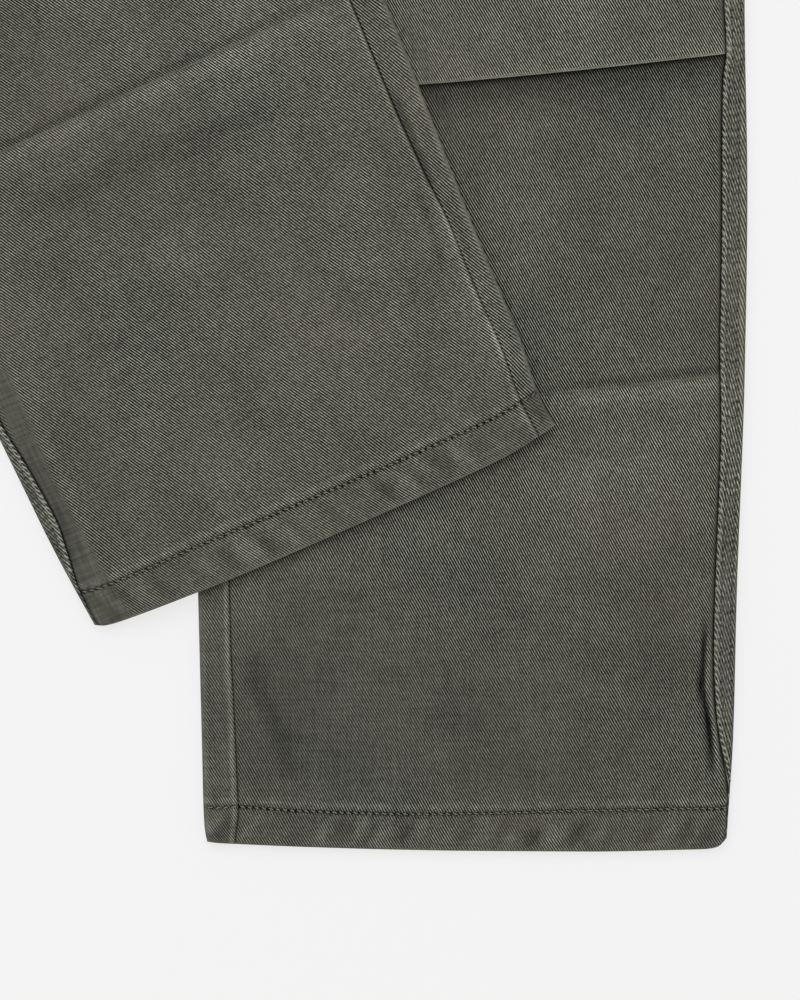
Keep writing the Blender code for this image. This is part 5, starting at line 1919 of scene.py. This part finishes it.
@dataclass
class WaistPieces:
    """The waistband, the belt loops and the fly placket.

    `rings` are the top rows of the left front, left back, right front and right back panels.
    """

    layout: Layout
    thread: Thread
    rings: tuple[Array, Array, Array, Array]
    band_height: float = 0.040
    band_step: float = 0.0012
    band_cut: float = 0.0425
    band_turn: float = 0.010
    proud: float = 0.0006
    inside: float = 0.0018
    underlap: float = 0.035
    lap_ramp: float = 0.036
    loop_places: tuple[float, ...] = (0.078, 0.172, -0.078, -0.172)
    loop_width: float = 0.012
    loop_wall: float = 0.0020
    loop_arch: float = 0.0018
    loop_overhang: float = 0.007
    loop_cut: Pair = (0.0145, 0.052)
    fly_width: float = 0.038
    fly_length: float = 0.165
    fly_corner: float = 0.0342
    fly_cut: Pair = (0.048, 0.175)
    fly_height: float = LAID_HEIGHT + 0.00105

    def build(self) -> None:
        """Makes them all."""
        self.band()
        for number, place in enumerate(self.loop_places, 1):
            self.loop(number, CENTRE_X + place)
        self.fly()

    def ring(self) -> tuple[Array, Array, Array]:
        """The waistband's line round the waist, from its lapped end to the end of its underlap.

        Returns:
            Its points, outward directions and places along it, in even steps.
        """
        left_front, left_back, right_front, right_back = self.rings
        run = (left_front[:, ::-1], left_back, right_back[:, ::-1], right_front)
        points, outward = np.concatenate(run, 1)
        lap = 1 - ease((points[:, 0] - CENTRE_X - self.underlap - SEAM_GAP) / self.lap_ramp)
        lap[left_front.shape[1] :] = 0.0
        points[:, 2] += (self.proud + self.inside + SEAM_GAP) * lap
        under = [points[-1] + np.array([reach, 0.0, 0.0]) for reach in (SEAM_GAP, self.underlap)]
        points = np.concatenate([points[:-1], under])
        outward = unit(np.concatenate([outward, outward[-1:]]) * (1.0, 0.0, 1.0))
        lengths = run_length(points)
        end = lengths[-1]
        at = steps(((0.0, RIM, RIM_STEP), (RIM, end - RIM, self.band_step), (end - RIM, end, RIM_STEP)))
        points, outward = (
            np.stack([np.interp(at, lengths, grid[:, k]) for k in range(3)], 1) for grid in (points, outward)
        )
        return points, unit(outward), at

    def band(self) -> None:
        """Makes the waistband, sewn along both edges and across its lapped end."""
        points, outward, at = self.ring()
        up = edged(self.band_height, 0.0028)
        base = points[None] + (SEAM_GAP + up)[:, None, None] * np.array([0.0, 1.0, 0.0])
        outward = np.broadcast_to(outward, base.shape)
        height, place = np.meshgrid(up, at, indexing="ij")
        free = np.clip(outward[..., 2], 0.0, 1.0)
        waves = np.sin(place * 95.0 + height * 60.0) * np.sin(place * 41.0 + 1.0)
        piece = SewnPiece(
            name="waistband", base=base - outward * self.inside, outward=outward, up=up, across=at,
            sewn_edges=(Edge.FIRST_ROW, Edge.LAST_ROW), stitch_rows=(0.0020,),
            thickness=self.proud + self.inside, weave=np.stack([-height, place], -1),
            swell=0.00018 * waves * hump(height / 0.02 - 1) * free,
        )
        shell = self.layout.sewn(piece, (self.band_cut, float(at[-1]) + self.band_turn))
        seen = np.flatnonzero(outward[0, :, 2] > 0.3)
        gap = int(np.argmax(np.diff(seen)))
        piece.sew(shell, self.thread, slice(seen[0], seen[gap] + 1))
        lapped_under = self.underlap + 0.004
        end = int(np.searchsorted(at, at[-1] - lapped_under))
        piece.sew(shell, self.thread, slice(seen[gap + 1], end))
        rows = np.linspace(2.0, len(up) - 3.0, 40)
        self.thread.run(*shell.on(rows, np.full(40, numbered(0.0020, at))))
        for side in (-SLOT_HALF, SLOT_HALF):
            piece.tack(shell, self.thread, 0.0200 + side, 0.0065, (0.0, 0.0190))

    def loop(self, number: int, x: float) -> None:
        """Makes a belt loop, arched over the waistband.

        Args:
            number: Which loop of the solids it stands for.
            x: Its middle.
        """
        length = self.band_height + self.loop_overhang - 0.001
        up, across = edged(length, 0.0016), edged(self.loop_width, 0.0010)
        place, over = np.meshgrid(up, across, indexing="ij")
        height = LAID_HEIGHT + SEAM_GAP + self.loop_arch * hump(2 * place / length - 1)
        y = WAIST_LEVEL - self.loop_overhang + place
        base = np.stack([x - self.loop_width / 2 + over, y, height], -1)
        piece = SewnPiece(
            name=f"belt_loop_{number}", base=base,
            outward=np.broadcast_to(np.array([0.0, 0.0, 1.0]), base.shape), up=up, across=across,
            sewn_edges=(Edge.FIRST_COLUMN, Edge.LAST_COLUMN), stitch_rows=(0.0021,),
            thickness=self.loop_wall, weave=np.stack([over, place + 0.013 * number], -1),
        )
        shell = self.layout.sewn(piece, self.loop_cut)
        piece.sew(shell, self.thread)
        for place_up in (0.0022, length - 0.0022):
            piece.tack(shell, self.thread, place_up, 0.0012, (0.0, self.loop_width - 0.0024))

    def fly(self) -> None:
        """Makes the fly placket, whose lower corner is rounded off towards the centre."""
        up, across = edged(self.fly_length, 0.0026), edged(self.fly_width, 0.0026)
        rise, over = np.meshgrid(up, across / across[-1], indexing="ij")
        into = np.clip(self.fly_corner - rise, 0.0, self.fly_corner)
        reach = self.fly_width - (self.fly_corner - np.sqrt(self.fly_corner**2 - into**2))
        x = CENTRE_X + SEAM_GAP / 2 + reach * over
        y = WAIST_LEVEL - self.fly_length + rise
        base = np.stack([x, y, np.full(x.shape, self.fly_height - CLOTH / 2)], -1)
        piece = SewnPiece(
            name="fly_placket", base=base, outward=np.broadcast_to(np.array([0.0, 0.0, 1.0]), base.shape),
            up=up, across=across, sewn_edges=(Edge.LAST_COLUMN,), stitch_rows=(0.0020, 0.0080),
            weave=np.stack([x, y], -1),
        )
        shell = self.layout.sewn(piece, self.fly_cut)
        piece.sew(shell, self.thread)
        piece.tack(shell, self.thread, 0.0060, 0.0030, (0.0070, 0.0))


@dataclass
class Buttons:
    """Turned resin buttons with a raised rim and four holes, sewn on where the solids are."""

    thread: Thread
    radius: float = 0.0085
    height: float = 0.0032
    rim: float = 0.0017
    dish: float = 0.0009
    hole: float = 0.00095
    hole_off: float = 0.00165
    names: tuple[str, ...] = (
        "waist_button",
        *(f"flap_button_{side.value}_{number}" for side in Side for number in (1, 2)),
    )
    sides: int = 48
    lip: float = 0.0008
    sink: float = 0.0022
    edge_round: float = 0.00045

    def build(self) -> None:
        """Models one button, and puts a copy in place of each solid."""
        model = self.model()
        shape = model.data
        bpy.data.objects.remove(model, do_unlink=True)
        for name in self.names:
            self.place(shape, name)
        bpy.data.meshes.remove(shape)

    def model(self) -> bpy.types.Object:
        """Models the button at the origin, on its underside.

        Returns:
            The model.
        """
        bpy.ops.object.select_all(action="DESELECT")
        bpy.ops.mesh.primitive_cylinder_add(
            vertices=self.sides, radius=self.radius, depth=self.height, location=(0.0, 0.0, self.height / 2)
        )
        button = bpy.context.object
        bpy.ops.object.transform_apply(location=True, rotation=True, scale=True)
        for polygon in button.data.polygons:
            polygon.select = polygon.normal.z > 0.9
        for edge in button.data.edges:
            edge.select = False
        for vertex in button.data.vertices:
            vertex.select = vertex.co.z > self.height / 2
        bpy.ops.object.mode_set(mode="EDIT")
        bpy.ops.mesh.select_mode(type="FACE")
        bpy.ops.mesh.inset(thickness=self.rim)
        bpy.ops.mesh.inset(thickness=self.lip, depth=-self.dish)
        bpy.ops.mesh.inset(thickness=self.sink, depth=-0.0001)
        bpy.ops.object.mode_set(mode="OBJECT")
        bevel = button.modifiers.new("round", "BEVEL")
        bevel.width, bevel.segments, bevel.limit_method = self.edge_round, 3, "ANGLE"
        bpy.ops.object.modifier_apply(modifier=bevel.name)
        for x in (-self.hole_off, self.hole_off):
            for y in (-self.hole_off, self.hole_off):
                bpy.ops.object.select_all(action="DESELECT")
                bpy.ops.mesh.primitive_cylinder_add(
                    vertices=14, radius=self.hole, depth=self.height * 3, location=(x, y, 0.0)
                )
                drill = bpy.context.object
                cut = button.modifiers.new("hole", "BOOLEAN")
                cut.operation, cut.object, cut.solver = "DIFFERENCE", drill, "EXACT"
                bpy.context.view_layer.objects.active = button
                bpy.ops.object.modifier_apply(modifier=cut.name)
                bpy.data.objects.remove(drill, do_unlink=True)
        return button

    def place(self, shape: bpy.types.Mesh, name: str) -> None:
        """Puts a copy of the button in place of a solid, and sews it on.

        Args:
            shape: The button's mesh.
            name: The solid's name.
        """
        solid = np.array([vertex.co[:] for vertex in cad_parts[name].data.vertices])
        centre = solid.mean(0)
        axis = np.linalg.svd(solid - centre)[2][2]
        axis = axis * np.sign(axis[2])
        centre = centre + axis * ((solid - centre) @ axis).min()
        side = unit(np.cross((0.0, 1.0, 0.0), axis))
        turn = np.stack([side, np.cross(axis, side), axis])
        mesh = shape.copy()
        mesh.name = name + "_resin"
        points = np.array([vertex.co[:] for vertex in shape.vertices]) @ turn + centre
        mesh.vertices.foreach_set("co", points.astype(np.float32).ravel())
        mesh.materials.clear()
        mesh.materials.append(BUTTON_RESIN.material())
        mesh.shade_smooth()
        mesh.set_sharp_from_angle(angle=math.radians(40))
        made = linked(name + "_resin", mesh)
        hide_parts(name)
        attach(made, "root")
        top, reach = self.height - self.dish, self.hole_off * 1.25
        for y in (-self.hole_off, self.hole_off):
            for shift in (-0.00028, 0.0, 0.00028):
                start, end = np.array([(x, y + shift, top) for x in (-reach, reach)]) @ turn + centre
                self.thread.strand(start, end, axis)
        LOG.info("%s: placed at %s", name, np.round(centre, 4))


@dataclass
class Stage:
    """The floor, the lights and the camera. `middle` is the point of the frame below the camera."""

    middle: Pair
    view_height: float = 0.500
    distance: float = 3.0
    cloth_height: float = 0.006
    sensor: float = 36.0
    floor_glow: float = 0.733
    sky_light: float = 0.70
    lamp_power: float = 55.0

    def build(self) -> None:
        """Makes them all."""
        self.floor()
        self.lights()
        self.camera()

    def floor(self) -> None:
        """A plain pale floor that glows a little, so that shadows on it stay faint."""
        bpy.ops.object.select_all(action="DESELECT")
        bpy.ops.mesh.primitive_plane_add(size=8.0, location=(0.0, 0.0, -0.0004))
        floor = bpy.context.object
        floor.name = "floor"
        material, make, shader = new_material("pale floor", roughness=0.9, gloss=0.0)
        grey, white = (0.15,) * 3, (1.0,) * 3
        make.feed(shader, {"Base Color": grey, "Emission Color": white, "Emission Strength": self.floor_glow})
        floor.data.materials.append(material)

    def lights(self) -> None:
        """A broad soft light from beyond the waist, under a bright soft sky."""
        world = bpy.data.worlds.new("soft studio")
        world.use_nodes = True
        sky = world.node_tree.nodes["Background"]
        Wiring(world.node_tree).feed(sky, {"Color": (1.0, 1.0, 1.0), "Strength": self.sky_light})
        bpy.context.scene.world = world
        bpy.context.scene.view_settings.view_transform = "Standard"
        lamp = bpy.data.lights.new("key light", "AREA")
        lamp.shape = "RECTANGLE"
        lamp.size, lamp.size_y = 3.4, 2.4
        lamp.energy = self.lamp_power
        key = linked("key light", lamp)
        key.location = (self.middle[0] - 0.6, self.middle[1] + 1.3, 2.6)
        aim = Vector((self.middle[0], self.middle[1], 0.0)) - key.location
        key.rotation_euler = aim.to_track_quat("-Z", "Y").to_euler()

    def camera(self) -> None:
        """A camera that looks straight down on the hems."""
        data = bpy.data.cameras.new("camera")
        data.sensor_fit = "AUTO"
        data.sensor_width = self.sensor
        data.lens = self.sensor * self.distance / self.view_height
        data.clip_end = 50.0
        camera = linked("camera", data)
        camera.location = (self.middle[0], self.middle[1], self.distance + self.cloth_height)
        bpy.context.scene.camera = camera


def main() -> None:
    """Builds every part of the scene and reports each."""
    logging.basicConfig(level=logging.INFO, format="%(name)s: %(message)s")
    layout = Layout.from_frame()
    LOG.info("layout shift %s", layout.shift)
    Stage((layout.shift[0] + VIEW_MIDDLE[0], layout.shift[1] + VIEW_MIDDLE[1])).build()
    thread = Thread("topstitching", SEAM_THREAD)
    left = LegPiece(STRAIGHT, layout, thread, pocket_levels=(0.520, 0.705), flap_levels=(0.640, 0.727))
    right = LegPiece(CROSSED, layout, thread, pocket_levels=(0.5307, 0.704), flap_levels=(0.648, 0.727))
    WaistPieces(layout, thread, (*left.build(), *right.build())).build()
    Buttons(thread).build()
    thread.build()


if __name__ == "__main__":
    main()
